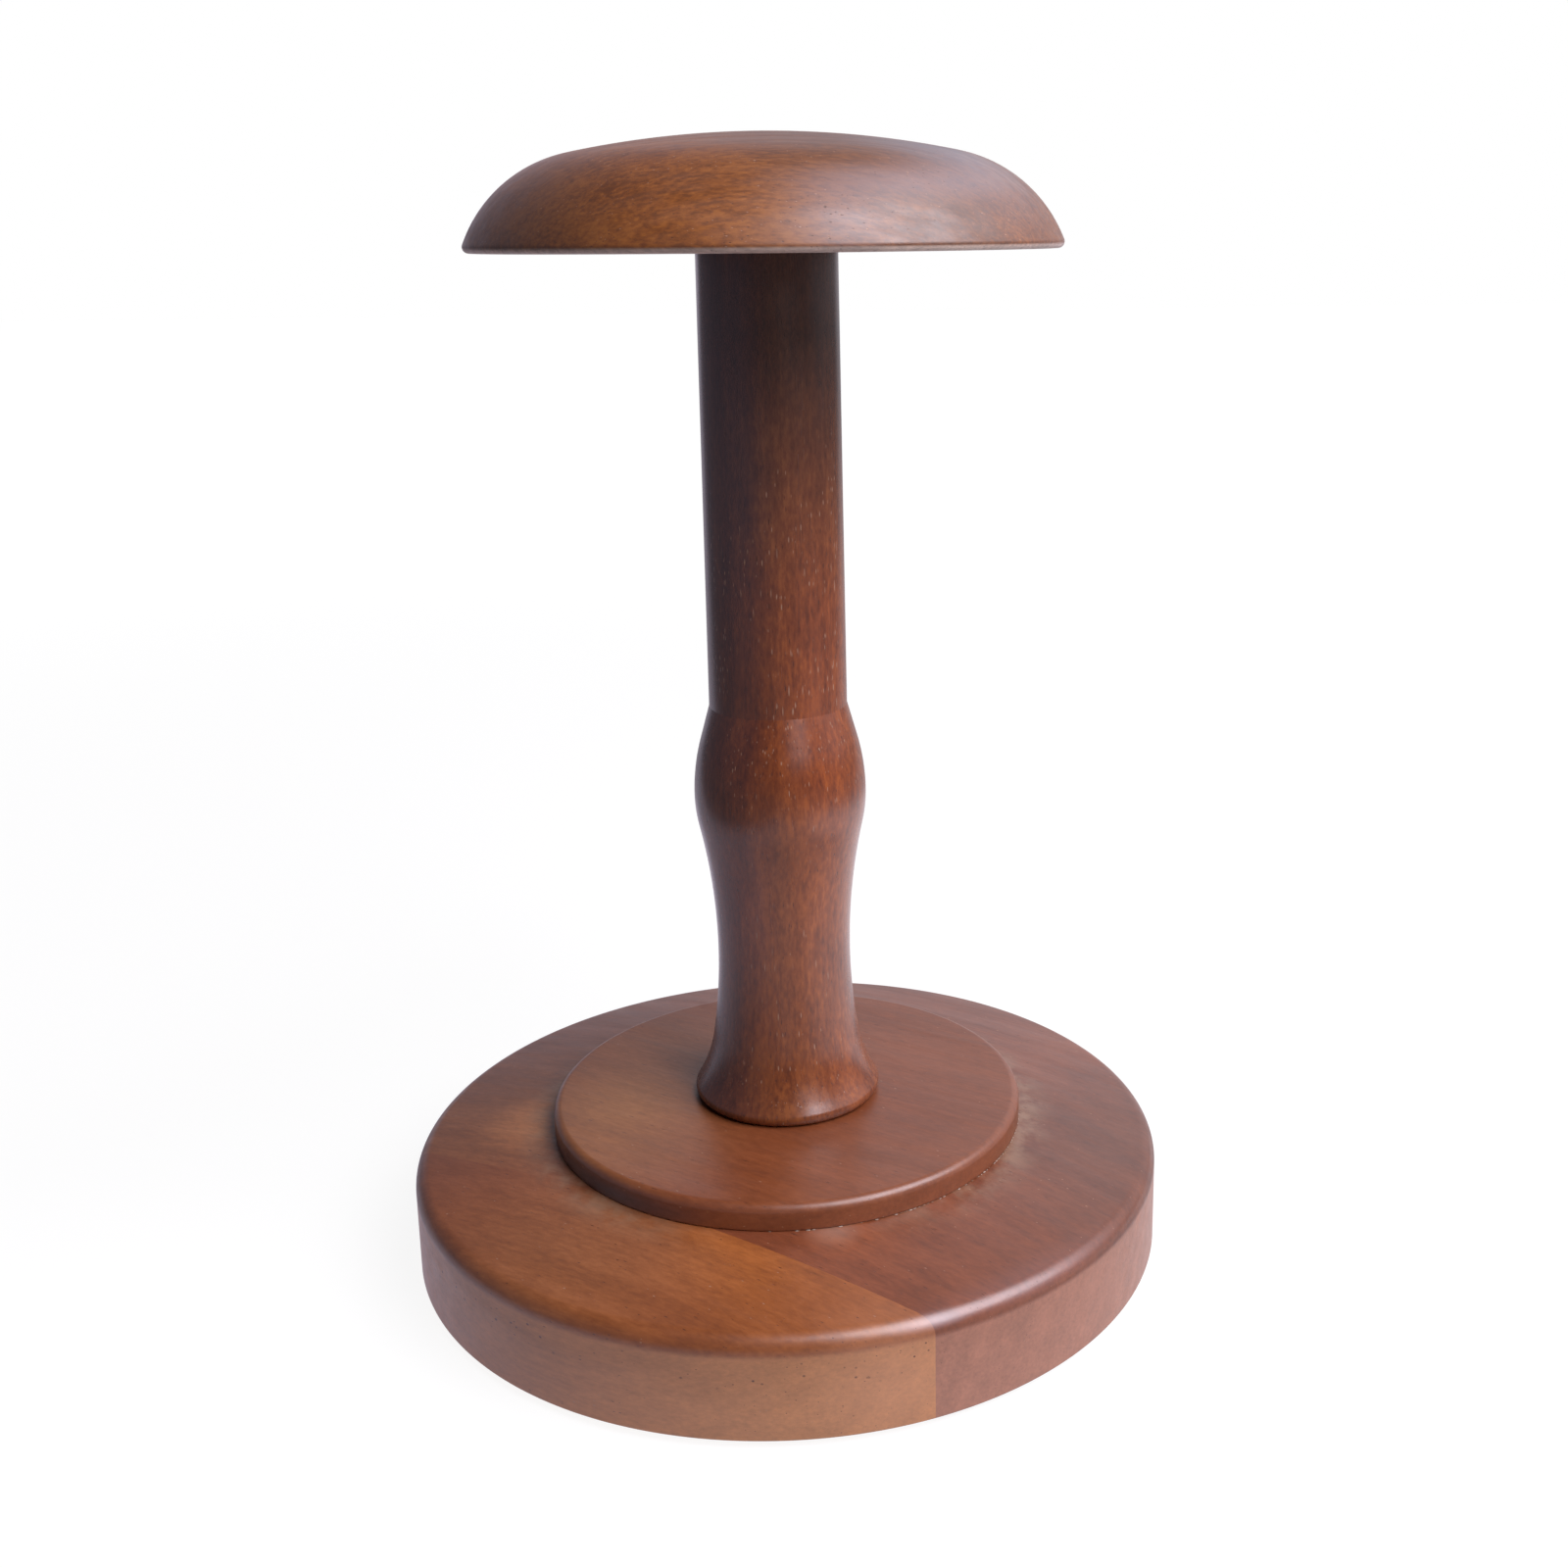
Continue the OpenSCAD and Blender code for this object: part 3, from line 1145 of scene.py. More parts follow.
STEM_WOOD = StainedWood(
    "stem_wood",
    deep=(0.1, 0.024, 0.009),
    middle=(0.19, 0.051, 0.017),
    warm=(0.3, 0.09, 0.027),
    turn=(0.0, 90.0, 0.0),
    shift=(0.0, 5.0, 9.0),
    pith=(40.0, 30.0),
    ring=6.0,
    streaks=0.65,
    fleck=1.1,
    pores=(
        Pores(DARK_PORE, 0.2, 3.0, 0.5),
        Pores(PALE_PORE, 0.3, 2.8, 0.55, low=125.0, high=215.0),
        Pores(PALE_PORE, 0.16, 5.0, 0.6, low=115.0, high=190.0),
        Pores(PALE_PORE, 0.2, 4.5, 0.6, low=40.0, high=95.0),
    ),
    # Painted shade under the cap and on the shaded left; painted light and painted reflection on the lit
    # right of belly, neck and foot; a few smaller patches deeper or lighter.
    stains_and_painted_light=(
        StainAndPaintedLight((0.0, 0.0, 268.0), 95.0, (0.55, 0.68, 1.1)),
        StainAndPaintedLight((20.0, -8.0, 225.0), 45.0, (0.68, 0.7, 0.72), rise=1.5),
        StainAndPaintedLight((0.0, -22.0, 145.0), 40.0, (0.86, 0.74, 0.56), rise=1.5),
        StainAndPaintedLight((12.0, -17.0, 118.0), 24.0, (1.25, 1.18, 0.95), rise=2.0),
        StainAndPaintedLight((-24.0, -12.0, 46.0), 24.0, (0.55, 0.6, 0.95), rise=1.6),
        StainAndPaintedLight((0.0, -22.0, 60.0), 26.0, (0.96, 0.88, 0.62), rise=1.6),
        StainAndPaintedLight((20.0, -14.0, 53.0), 18.0, (1.22, 1.12, 0.85), rise=1.3),
        StainAndPaintedLight((-10.0, -21.0, 48.0), 14.0, (0.84, 0.88, 0.96), rise=1.3),
        StainAndPaintedLight((12.0, -17.0, 90.0), 20.0, (1.33, 1.33, 1.22), rise=2.0),
        StainAndPaintedLight((-19.0, -14.0, 98.0), 20.0, (1.3, 1.08, 1.08), rise=1.5),
        StainAndPaintedLight((12.0, -16.0, 165.0), 22.0, (1.27, 1.17, 1.05), rise=3.0),
        StainAndPaintedLight((-26.0, -8.0, 160.0), 30.0, (0.72, 0.74, 0.95), rise=5.0),
        StainAndPaintedLight((-5.5, -18.0, 208.0), 10.0, (0.86, 0.9, 0.93), rise=3.5),
        StainAndPaintedLight((0.0, -25.0, 42.0), 12.0, (0.9, 0.94, 1.0)),
    ),
    # A painted bluish reflection down the shaded left of the shaft.
    painted_light_films=(PaintedLightFilm((-16.0, -14.0, 215.0), 22.0, (0.11, 0.17, 0.26), rise=5.0, hides=0.2),),
    gloss=0.26,
    sheen_lines=0.18,
)
PLATE_WOOD = StainedWood(
    "plate_wood",
    deep=(0.15, 0.04, 0.013),
    middle=(0.2, 0.055, 0.018),
    warm=(0.25, 0.073, 0.026),
    turn=BOARD_TURN,
    shift=(7.0, 0.0, 14.0),
    figure=0.25,
    mottle=0.45,
    pores=BOARD_PORES,
    # Painted light in front and on the right wall; painted light and a painted bluish reflection on the left
    # and back; painted shade on the left wall.
    stains_and_painted_light=(
        StainAndPaintedLight((4.0, -55.0, 38.0), 45.0, (1.15, 1.15, 1.05)),
        StainAndPaintedLight((-48.0, -22.0, 38.0), 45.0, (1.35, 1.75, 1.6)),
        StainAndPaintedLight((-40.0, 17.0, 39.0), 45.0, (1.75, 2.1, 2.0)),
        StainAndPaintedLight((-48.0, -42.0, 35.0), 40.0, (0.36, 0.95, 3.9), rise=0.12),
        StainAndPaintedLight((50.0, -42.0, 35.0), 32.0, (1.15, 1.15, 1.1), rise=0.3),
    ),
)
WALL_TAN: Colour = (0.56, 0.236, 0.09)
WALL_ROSE: Colour = (0.455, 0.198, 0.125)
FOOT_DUST = DustRing(63.0, 12.0, (0.36, 0.24, 0.155), 0.58)
# Painted light on the base top at the plate's front foot, lifting the shade the plate casts there.
FOOT_PAINTED_LIGHT = PaintedLightFilm((10.0, -63.0, 32.5), 9.0, (0.5, 0.35, 0.27), hides=0.3)
# A painted highlight on the rounded edge beside the glue line.
SEAM_PAINTED_HIGHLIGHT = PaintedLightFilm((31.0, -94.0, 26.5), 14.0, (0.9, 0.75, 0.8), rise=0.14, hides=0.2)
FRONT_WOOD = StainedWood(
    "front_board_wood",
    deep=(0.17, 0.049, 0.017),
    middle=(0.235, 0.071, 0.024),
    warm=(0.3, 0.096, 0.035),
    turn=BOARD_TURN,
    shift=(0.0, 0.0, 21.0),
    pores=(
        Pores(DARK_PORE, 0.08, 2.0, 0.45),
        Pores(PALE_PORE, 0.025, 1.4, 0.5),
        Pores(DARK_PORE, 0.24, 1.9, 1.3, low=16.0, high=24.0, soft=2.0),
    ),
    # Painted light towards the front and where the plate's shade falls at its foot; paler to the front left,
    # darker at the left end.
    stains_and_painted_light=(
        StainAndPaintedLight((15.0, -92.0, 29.0), 100.0, (1.24, 1.2, 0.85)),
        StainAndPaintedLight((-95.0, -9.0, 29.0), 40.0, (0.88, 0.88, 1.0)),
        StainAndPaintedLight((-60.0, -65.0, 29.0), 48.0, (1.16, 1.3, 1.3)),
        StainAndPaintedLight((-13.0, -71.0, 31.0), 24.0, (1.35, 1.4, 1.2)),
    ),
    # Painted light where the plate's shade falls at its foot, a painted reflection on the wall and a painted
    # highlight on the edge beside the glue line.
    painted_light_films=(
        FOOT_PAINTED_LIGHT,
        PaintedLightFilm((22.0, -97.0, 15.0), 26.0, (0.75, 0.37, 0.22), hides=0.26),
        SEAM_PAINTED_HIGHLIGHT,
    ),
    gloss=0.37,
    wall=WallToneAndPaintedReflection(WALL_TAN, 0.9, 23.5, soft=1.6),
    foot_dust=FOOT_DUST,
)
REAR_WOOD = StainedWood(
    "rear_board_wood",
    deep=(0.14, 0.037, 0.014),
    middle=(0.195, 0.052, 0.019),
    warm=(0.25, 0.071, 0.027),
    turn=BOARD_TURN,
    shift=(40.0, 0.0, -9.0),
    pith=(60.0, -45.0),
    streaks=0.45,
    pores=BOARD_PORES,
    # Paler and bluer on the left, duller on the right, painted light where the plate's shade falls at its
    # foot, paler beside its left foot, darker at the front right.
    stains_and_painted_light=(
        StainAndPaintedLight((-78.0, 2.0, 29.0), 75.0, (1.4, 1.85, 1.9)),
        StainAndPaintedLight((85.0, -20.0, 29.0), 60.0, (0.66, 0.7, 0.74)),
        StainAndPaintedLight((14.0, -66.0, 32.0), 22.0, (1.3, 1.28, 1.1)),
        StainAndPaintedLight((-66.0, 0.0, 32.0), 22.0, (2.0, 2.2, 2.1)),
        StainAndPaintedLight((72.0, -60.0, 30.0), 30.0, (0.86, 0.84, 0.8)),
    ),
    # Painted light where the plate's shade falls at its foot, a painted highlight along the rounded edge and
    # another beside the glue line.
    painted_light_films=(
        FOOT_PAINTED_LIGHT,
        PaintedLightFilm((54.0, -82.0, 26.9), 46.0, (0.62, 0.46, 0.5), rise=0.055, hides=0.135),
        SEAM_PAINTED_HIGHLIGHT,
    ),
    gloss=0.37,
    wall=WallToneAndPaintedReflection(WALL_ROSE, 0.85, 23.5, soft=1.6),
    foot_dust=FOOT_DUST,
)
ZINC = PlatedMetal("zinc_steel", (0.66, 0.67, 0.68), (0.5, 0.5, 0.51), (0.22, 0.47))
BRASS = PlatedMetal("brass", (0.75, 0.55, 0.24), (0.58, 0.4, 0.16), (0.18, 0.43))
FELT = PressedFelt("felt", (0.012, 0.011, 0.01), (0.06, 0.055, 0.05))
GLUE = DriedGlue("dried_glue", (0.28, 0.16, 0.1), (0.56, 0.46, 0.39))


@dataclass
class HeadCap:
    """The domed head with the threaded insert in its underside."""

    diameter: float = 145.5
    height: float = 27.8
    crown_angle: float = 11.8
    rim_lean: float = 22.0
    rim_round: float = 1.5
    insert_d: float = 12.0
    insert_h: float = 13.0
    flange_d: float = 17.0
    flange_h: float = 1.6
    bore_h: float = 15.6
    stud_d: float = 8.0
    gap: float = 0.1
    insert_ease: float = 0.4
    insert_thread: Span = (2.4, 0.7)
    thread_margin: float = 0.8
    foot_z: float = field(default_factory=lambda: foot_of("head_cap"))

    def outline(self) -> list[Point]:
        """Rim, shoulder and crown as tangent arcs, with the bore for the insert.

        Returns:
            The outline from the blind end of the bore to the crown.
        """
        a, b = math.radians(self.crown_angle), math.radians(90 - self.rim_lean)
        rim = (self.diameter / 2 - self.rim_round, self.rim_round)
        start = (rim[0] + self.rim_round * math.sin(b), rim[1] + self.rim_round * math.cos(b))
        flat = (1 - math.cos(a)) / math.sin(a)
        shoulder_r = (self.height - start[1] - flat * start[0]) / (
            math.cos(a) - math.cos(b) - flat * (math.sin(b) - math.sin(a))
        )
        crown_r = (start[0] - shoulder_r * (math.sin(b) - math.sin(a))) / math.sin(a)
        shoulder = (start[0] - shoulder_r * math.sin(b), start[1] - shoulder_r * math.cos(b))
        body_r, flange_r = self.insert_d / 2 + self.gap, self.flange_d / 2 + self.gap
        bore = [(0.0, self.bore_h), (body_r, self.bore_h)]
        bore += [(body_r, self.flange_h), (flange_r, self.flange_h)]
        return lift(
            bore
            + run((flange_r, 0.0), (rim[0], 0.0), 4.0)[:-1]
            + arc(rim, self.rim_round, 180, 90 - self.rim_lean, 6.0)
            + arc(shoulder, shoulder_r, 90 - self.rim_lean, self.crown_angle, 2.0)
            + arc((0.0, self.height - crown_r), crown_r, self.crown_angle, 0, 1.0),
            self.foot_z,
        )

    def insert_outline(self) -> tuple[list[Point], list[float]]:
        """The insert's outline and where its outer thread is cut.

        Returns:
            The closed outline and the share of thread at each point.
        """
        inner, outer, flange = self.stud_d / 2 + self.gap, self.insert_d / 2, self.flange_d / 2
        side = run((outer, self.flange_h), (outer, self.insert_h - self.insert_ease), 0.3)
        points = [(inner, 0.0), (flange, 0.0), (flange, self.flange_h), *side]
        points += [(outer - self.insert_ease, self.insert_h), (inner, self.insert_h), (inner, 0.0)]
        low, high = self.flange_h + self.thread_margin, self.insert_h - self.thread_margin
        cut = [1.0 if low < z < high and r == outer else 0.0 for r, z in points]
        return lift(points, self.foot_z), cut

    def build(self, lathe: Lathe) -> None:
        """Turns the cap and its insert and dresses them.

        Args:
            lathe: The lathe.
        """
        cap = lathe.turn("head_cap_turned", self.outline(), Facets.BROAD, CAP_WOOD.material())
        settle(cap, "head_cap")
        points, cut = self.insert_outline()
        brass = BRASS.material()
        insert = lathe.turn("cap_insert_threaded", points, Facets.SMALL, brass, self.insert_thread, cut)
        settle(insert, "cap_insert")


@dataclass
class Stem:
    """The turned stem with its shaft, belly, neck and flared foot."""

    height: float = 223.3
    shaft_top_d: float = 35.1
    shaft_low_d: float = 35.8
    belly_d: float = 45.0
    belly_z: float = 84.7
    belly_upper_r: float = 55.0
    belly_lower_r: float = 36.0
    arris_angle: float = 15.6
    neck_d: float = 35.3
    neck_z: float = 41.4
    foot_d: float = 49.8
    flare_z: float = 17.0
    flare_stretch: float = 1.44
    toe_r: float = 2.2
    tenon_d: float = 25.0
    tenon_h: float = 6.2
    screw_bore_d: float = 6.2
    screw_bore_top: float = 36.4
    stud_bore_d: float = 8.2
    stud_bore_h: float = 30.6
    tenon_z: float = field(default_factory=lambda: foot_of("stem"))

    def lower(self) -> list[Point]:
        """Toe, flare, neck and ogee up to the belly's widest ring.

        Returns:
            The points upwards from the foot.
        """
        toe = (self.foot_d / 2 - self.toe_r, self.toe_r)
        reach, rise = toe[0] - self.neck_d / 2, self.neck_z - self.toe_r
        upper_r = self.flare_stretch * (reach**2 + rise**2 - self.toe_r**2) / (2 * (self.toe_r + reach))
        upper = (self.neck_d / 2 + upper_r, self.neck_z)
        sweep = math.asin((self.neck_z - self.flare_z) / upper_r)
        inward = (math.cos(sweep), math.sin(sweep))
        meet = (upper[0] - upper_r * inward[0], upper[1] - upper_r * inward[1])
        away = (meet[0] - toe[0], meet[1] - toe[1])
        along = inward[0] * away[0] + inward[1] * away[1]
        lower_r = (away[0] ** 2 + away[1] ** 2 - self.toe_r**2) / (2 * (self.toe_r - along))
        flare = (meet[0] + lower_r * inward[0], meet[1] + lower_r * inward[1])
        toe_end = math.degrees(math.atan2(flare[0] - toe[0], flare[1] - toe[1]))
        bend = 270 - math.degrees(sweep)
        swell = (self.belly_d - self.neck_d) / 2
        turn = 2 * math.atan(swell / (self.belly_z - self.neck_z))
        ogee_r = (self.belly_z - self.neck_z) / math.sin(turn) - self.belly_lower_r
        turned = math.degrees(turn)
        ogee = (self.neck_d / 2 + ogee_r, self.neck_z)
        belly = (self.belly_d / 2 - self.belly_lower_r, self.belly_z)
        return (
            arc(toe, self.toe_r, 180, toe_end, 6.0)
            + arc(flare, lower_r, toe_end + 180, bend)[1:]
            + arc(upper, upper_r, bend, 270)[1:]
            + arc(ogee, ogee_r, 270, 270 + turned)[1:]
            + arc(belly, self.belly_lower_r, 90 + turned, 90)[1:]
        )

    def upper(self) -> list[Point]:
        """The belly's shoulder, the crisp arris and the shaft.

        Returns:
            The points upwards from the belly's widest ring.
        """
        belly = (self.belly_d / 2 - self.belly_upper_r, self.belly_z)
        shoulder = arc(belly, self.belly_upper_r, 90, 90 - self.arris_angle)
        last = shoulder[-1]
        low_r = self.shaft_low_d / 2
        arris = (low_r, last[1] + (last[0] - low_r) / math.tan(math.radians(self.arris_angle)))
        shaft = run(arris, (self.shaft_top_d / 2, self.height), 6.0)
        return shoulder[1:] + run(last, arris, 1.0)[1:] + shaft[1:]

    def outline(self) -> list[Point]:
        """The whole outline with tenon and bores.

        Returns:
            The points from the blind end of the screw's bore to that of the stud's.
        """
        screw_r, stud_r, tenon_r = self.screw_bore_d / 2, self.stud_bore_d / 2, self.tenon_d / 2
        end = self.height - self.stud_bore_h
        points = [(0.0, self.screw_bore_top)]
        points += run((screw_r, self.screw_bore_top), (screw_r, -self.tenon_h), 5.0)
        points += [(tenon_r, -self.tenon_h), (tenon_r, 0.0), *self.lower(), *self.upper()]
        points += [*run((stud_r, self.height), (stud_r, end), 5.0), (0.0, end)]
        return lift(points, self.tenon_z + self.tenon_h)

    def build(self, lathe: Lathe) -> None:
        """Turns the stem and dresses it."""
        stem = lathe.turn("stem_turned", self.outline(), Facets.SLIM, STEM_WOOD.material())
        settle(stem, "stem")


@dataclass
class RiserPlate:
    """The thin plate between stem and base, with dried glue along its foot."""

    diameter: float = 126.5
    height: float = 6.8
    upper_round: float = 2.2
    lower_ease: float = 0.5
    bore_d: float = 25.2
    bead_length: float = 1.2
    bead_width: float = 0.28
    bead_count: int = 300
    bead_seed: int = 7
    bead_out: float = 0.05
    bead_up: float = 0.1
    foot_z: float = field(default_factory=lambda: foot_of("riser_plate"))

    def outline(self) -> list[Point]:
        """The plate's closed outline round its bore.

        Returns:
            The points, the last one on the first.
        """
        bore = self.bore_d / 2
        side = edged_disc(self.diameter, self.height, self.upper_round, self.lower_ease)
        points = run((bore, 0.0), side[0], 6.0) + side[1:] + run(side[-1], (bore, self.height), 6.0)[1:]
        return lift([*points, (bore, 0.0)], self.foot_z)

    def build(self, lathe: Lathe) -> None:
        """Turns the plate, lays the glue beads and dresses both.

        Args:
            lathe: The lathe.
        """
        plate = lathe.turn("riser_plate_turned", self.outline(), Facets.BROAD, PLATE_WOOD.material())
        settle(plate, "riser_plate")
        beads = show("plate_glue_beads", bpy.data.meshes.new("plate_glue_beads"))
        values = {
            "Radius": (self.diameter / 2 + self.bead_out) * MM,
            "Height": (self.foot_z + self.bead_up) * MM,
            "Count": self.bead_count,
            "Length": self.bead_length * MM,
            "Width": self.bead_width * MM,
            "Seed": self.bead_seed,
            "Finish": GLUE.material(),
        }
        GlueLine().grow(beads, values)
        tidy(beads, 40.0)
        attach(beads, BODY)
        log.info("%s lies along the plate's foot with %d faces", beads.name, len(beads.data.polygons))


@dataclass
class RoundBase:
    """The round base of two edge-glued boards."""

    diameter: float = 200.0
    height: float = 30.8
    upper_round: float = 4.5
    crown_r: float = 577.0
    seat_d: float = 126.5
    lower_ease: float = 0.6
    glue_offset: float = 60.7
    recess_d: float = 24.0
    recess_h: float = 10.0
    bore_d: float = 6.6
    foot_z: float = field(default_factory=lambda: foot_of("base_rear_board"))

    def outline(self) -> list[Point]:
        """The closed outline round the screw's bore and recess.

        Returns:
            The points, the last one on the first.
        """
        bore, recess, seat = self.bore_d / 2, self.recess_d / 2, self.seat_d / 2
        edge_r, reach = self.diameter / 2 - self.upper_round, self.crown_r - self.upper_round
        crown = (0.0, self.height - math.sqrt(self.crown_r**2 - seat**2))
        edge = (edge_r, crown[1] + math.sqrt(reach**2 - edge_r**2))
        slope = math.degrees(math.asin(edge_r / reach))
        foot = self.diameter / 2 - self.lower_ease
        points = [(bore, self.recess_h), (recess, self.recess_h), (recess, 0.0)]
        points += run((recess, 0.0), (foot, 0.0), 8.0)[1:-1]
        points += arc((foot, self.lower_ease), self.lower_ease, 180, 90)
        points += arc(edge, self.upper_round, 90, slope)
        points += arc(crown, self.crown_r, slope, math.degrees(math.asin(seat / self.crown_r)))[1:]
        points += run((seat, self.height), (bore, self.height), 8.0)[1:]
        return lift([*points, (bore, self.recess_h)], self.foot_z)

    def board(
        self, blank: bpy.types.Object, name: str, front: bool, finish: bpy.types.Material
    ) -> bpy.types.Object:
        """Cuts one board out of the turned blank along the glue line.

        Args:
            blank: The whole disc.
            name: Name of the board.
            front: Whether the front board is kept, or else the rear one.
            finish: Material of the board.

        Returns:
            The board.
        """
        angle = math.radians(GRAIN_ANGLE)
        across = Vector((-math.sin(angle), math.cos(angle), 0.0))
        shape = bmesh.new()
        shape.from_mesh(blank.data)
        bmesh.ops.bisect_plane(
            shape,
            geom=[*shape.verts, *shape.edges, *shape.faces],
            dist=1e-7,
            plane_co=-across * self.glue_offset * MM,
            plane_no=across,
            clear_outer=front,
            clear_inner=not front,
        )
        bmesh.ops.holes_fill(shape, edges=[e for e in shape.edges if e.is_boundary], sides=0)
        mesh = bpy.data.meshes.new(name)
        shape.to_mesh(mesh)
        shape.free()
        mesh.materials.append(finish)
        return tidy(show(name, mesh))

    def build(self, lathe: Lathe) -> None:
        """Turns the blank, cuts it into its two boards and dresses them.

        Args:
            lathe: The lathe.
        """
        rear_finish, front_finish = REAR_WOOD.material(), FRONT_WOOD.material()
        blank = lathe.turn("base_blank", self.outline(), Facets.BROAD, rear_finish)
        front = self.board(blank, "base_front_board_turned", True, front_finish)
        settle(front, "base_front_board")
        rear = self.board(blank, "base_rear_board_turned", False, rear_finish)
        settle(rear, "base_rear_board")
        bpy.data.objects.remove(blank)


@dataclass
class Fixings:
    """The screw and washer in the base and the stud in the stem."""

    screw_d: float = 6.0
    screw_length: float = 65.0
    screw_thread: Span = (2.6, 0.8)
    shank_h: float = 26.0
    thread_start: float = 3.0
    head_d: float = 12.0
    head_h: float = 4.2
    head_ease: float = 0.3
    cross_clear: float = 0.5
    cross_h: float = 2.6
    cross_mouth: Span = (3.3, 0.75)
    cross_floor: Span = (1.5, 0.45)
    washer_d: float = 18.0
    washer_h: float = 1.6
    washer_bore_d: float = 6.2
    washer_round: float = 0.4
    washer_ease: float = 0.2
    stud_d: float = 8.0
    stud_thread: Span = (1.25, 0.6)
    stud_chamfer: float = 0.8
    washer_z: float = field(default_factory=lambda: foot_of("screw_washer"))
    stud_z: float = field(default_factory=lambda: foot_of("cap_stud"))
    stud_top: float = field(default_factory=lambda: top_of("cap_stud"))

    def screw(self, lathe: Lathe, finish: bpy.types.Material) -> bpy.types.Object:
        """The screw with its domed head, plain shank and cut thread.

        Args:
            lathe: The lathe.
            finish: Material of the screw.

        Returns:
            The screw.
        """
        dome = self.head_h / 2
        head = self.head_d / 2
        dome_r = (dome**2 + head**2) / (2 * dome)
        rim = 180 - math.degrees(math.asin(head / dome_r))
        radius = self.screw_d / 2
        tip = self.screw_length - self.screw_d
        points = arc((0.0, dome_r - self.head_h), dome_r, 180, rim, 2.0)
        points += [(head, -self.head_ease), (head - self.head_ease, 0.0)]
        points += [(radius, 0.0), (radius, self.shank_h)]
        points += run((radius, self.shank_h), (radius, tip), 0.32)[1:]
        points += run((radius, tip), (0.0, self.screw_length), 0.4)[1:]
        cut = []
        for r, z in points:
            begun = min(1.0, max(0.0, (z - self.shank_h) / self.thread_start))
            cut.append(begun * min(1.0, r / radius))
        outline = lift(points, self.washer_z)
        return lathe.turn("base_screw_threaded", outline, Facets.SMALL, finish, self.screw_thread, cut)

    def cross_slot(self, screw: bpy.types.Object) -> None:
        """Cuts a tapered cross into the screw's head.

        Args:
            screw: The screw.
        """
        cutter = bmesh.new()
        mouth_z = self.washer_z - self.head_h - self.cross_clear
        floor_z = self.washer_z - self.head_h + self.cross_h
        for long_x in (True, False):
            corners = []
            for z, (reach, half) in ((mouth_z, self.cross_mouth), (floor_z, self.cross_floor)):
                x, y = (reach, half) if long_x else (half, reach)
                for sx, sy in ((-1, -1), (1, -1), (1, 1), (-1, 1)):
                    corners.append(cutter.verts.new((sx * x * MM, sy * y * MM, z * MM)))
            cutter.faces.new(corners[3::-1])
            cutter.faces.new(corners[4:])
            for i in range(4):
                j = (i + 1) % 4
                cutter.faces.new((corners[i], corners[j], corners[4 + j], corners[4 + i]))
        mesh = bpy.data.meshes.new("cross_cutter")
        cutter.to_mesh(mesh)
        cutter.free()
        tool = show("cross_cutter", mesh)
        cut = screw.modifiers.new("cross", "BOOLEAN")
        cut.object = tool
        cut.operation = "DIFFERENCE"
        cut.solver = "EXACT"
        cut.use_self = True
        harden(screw)
        bpy.data.objects.remove(tool)

    def washer(self, lathe: Lathe, finish: bpy.types.Material) -> bpy.types.Object:
        """The washer with its stamped edges.

        Args:
            lathe: The lathe.
            finish: Material of the washer.

        Returns:
            The washer.
        """
        inner, outer, h = self.washer_bore_d / 2, self.washer_d / 2, self.washer_h
        ease, fillet = self.washer_ease, self.washer_round
        points = [(inner + ease, 0.0), *arc((outer - fillet, fillet), fillet, 180, 90, 15.0)]
        points += [(outer, h - ease), (outer - ease, h), (inner + ease, h)]
        points += [(inner, h - ease), (inner, ease), (inner + ease, 0.0)]
        return lathe.turn("screw_washer_stamped", lift(points, self.washer_z), Facets.SMALL, finish)

    def stud(self, lathe: Lathe, finish: bpy.types.Material) -> bpy.types.Object:
        """The stud with its thread and chamfered ends.

        Args:
            lathe: The lathe.
            finish: Material of the stud.

        Returns:
            The stud.
        """
        radius, length, ease = self.stud_d / 2, self.stud_top - self.stud_z, self.stud_chamfer
        points = [(0.0, 0.0), (radius - ease, 0.0), *run((radius, ease), (radius, length - ease), 0.18)]
        points += [(radius - ease, length), (0.0, length)]
        cut = [1.0 if r == radius and ease < z < length - ease else 0.0 for r, z in points]
        outline = lift(points, self.stud_z)
        return lathe.turn("cap_stud_threaded", outline, Facets.SMALL, finish, self.stud_thread, cut)

    def build(self, lathe: Lathe) -> None:
        """Turns the fixings and dresses them.

        Args:
            lathe: The lathe.
        """
        finish = ZINC.material()
        screw = self.screw(lathe, finish)
        self.cross_slot(screw)
        settle(tidy(screw, 30.0), "base_screw")
        settle(self.washer(lathe, finish), "screw_washer")
        settle(self.stud(lathe, finish), "cap_stud")


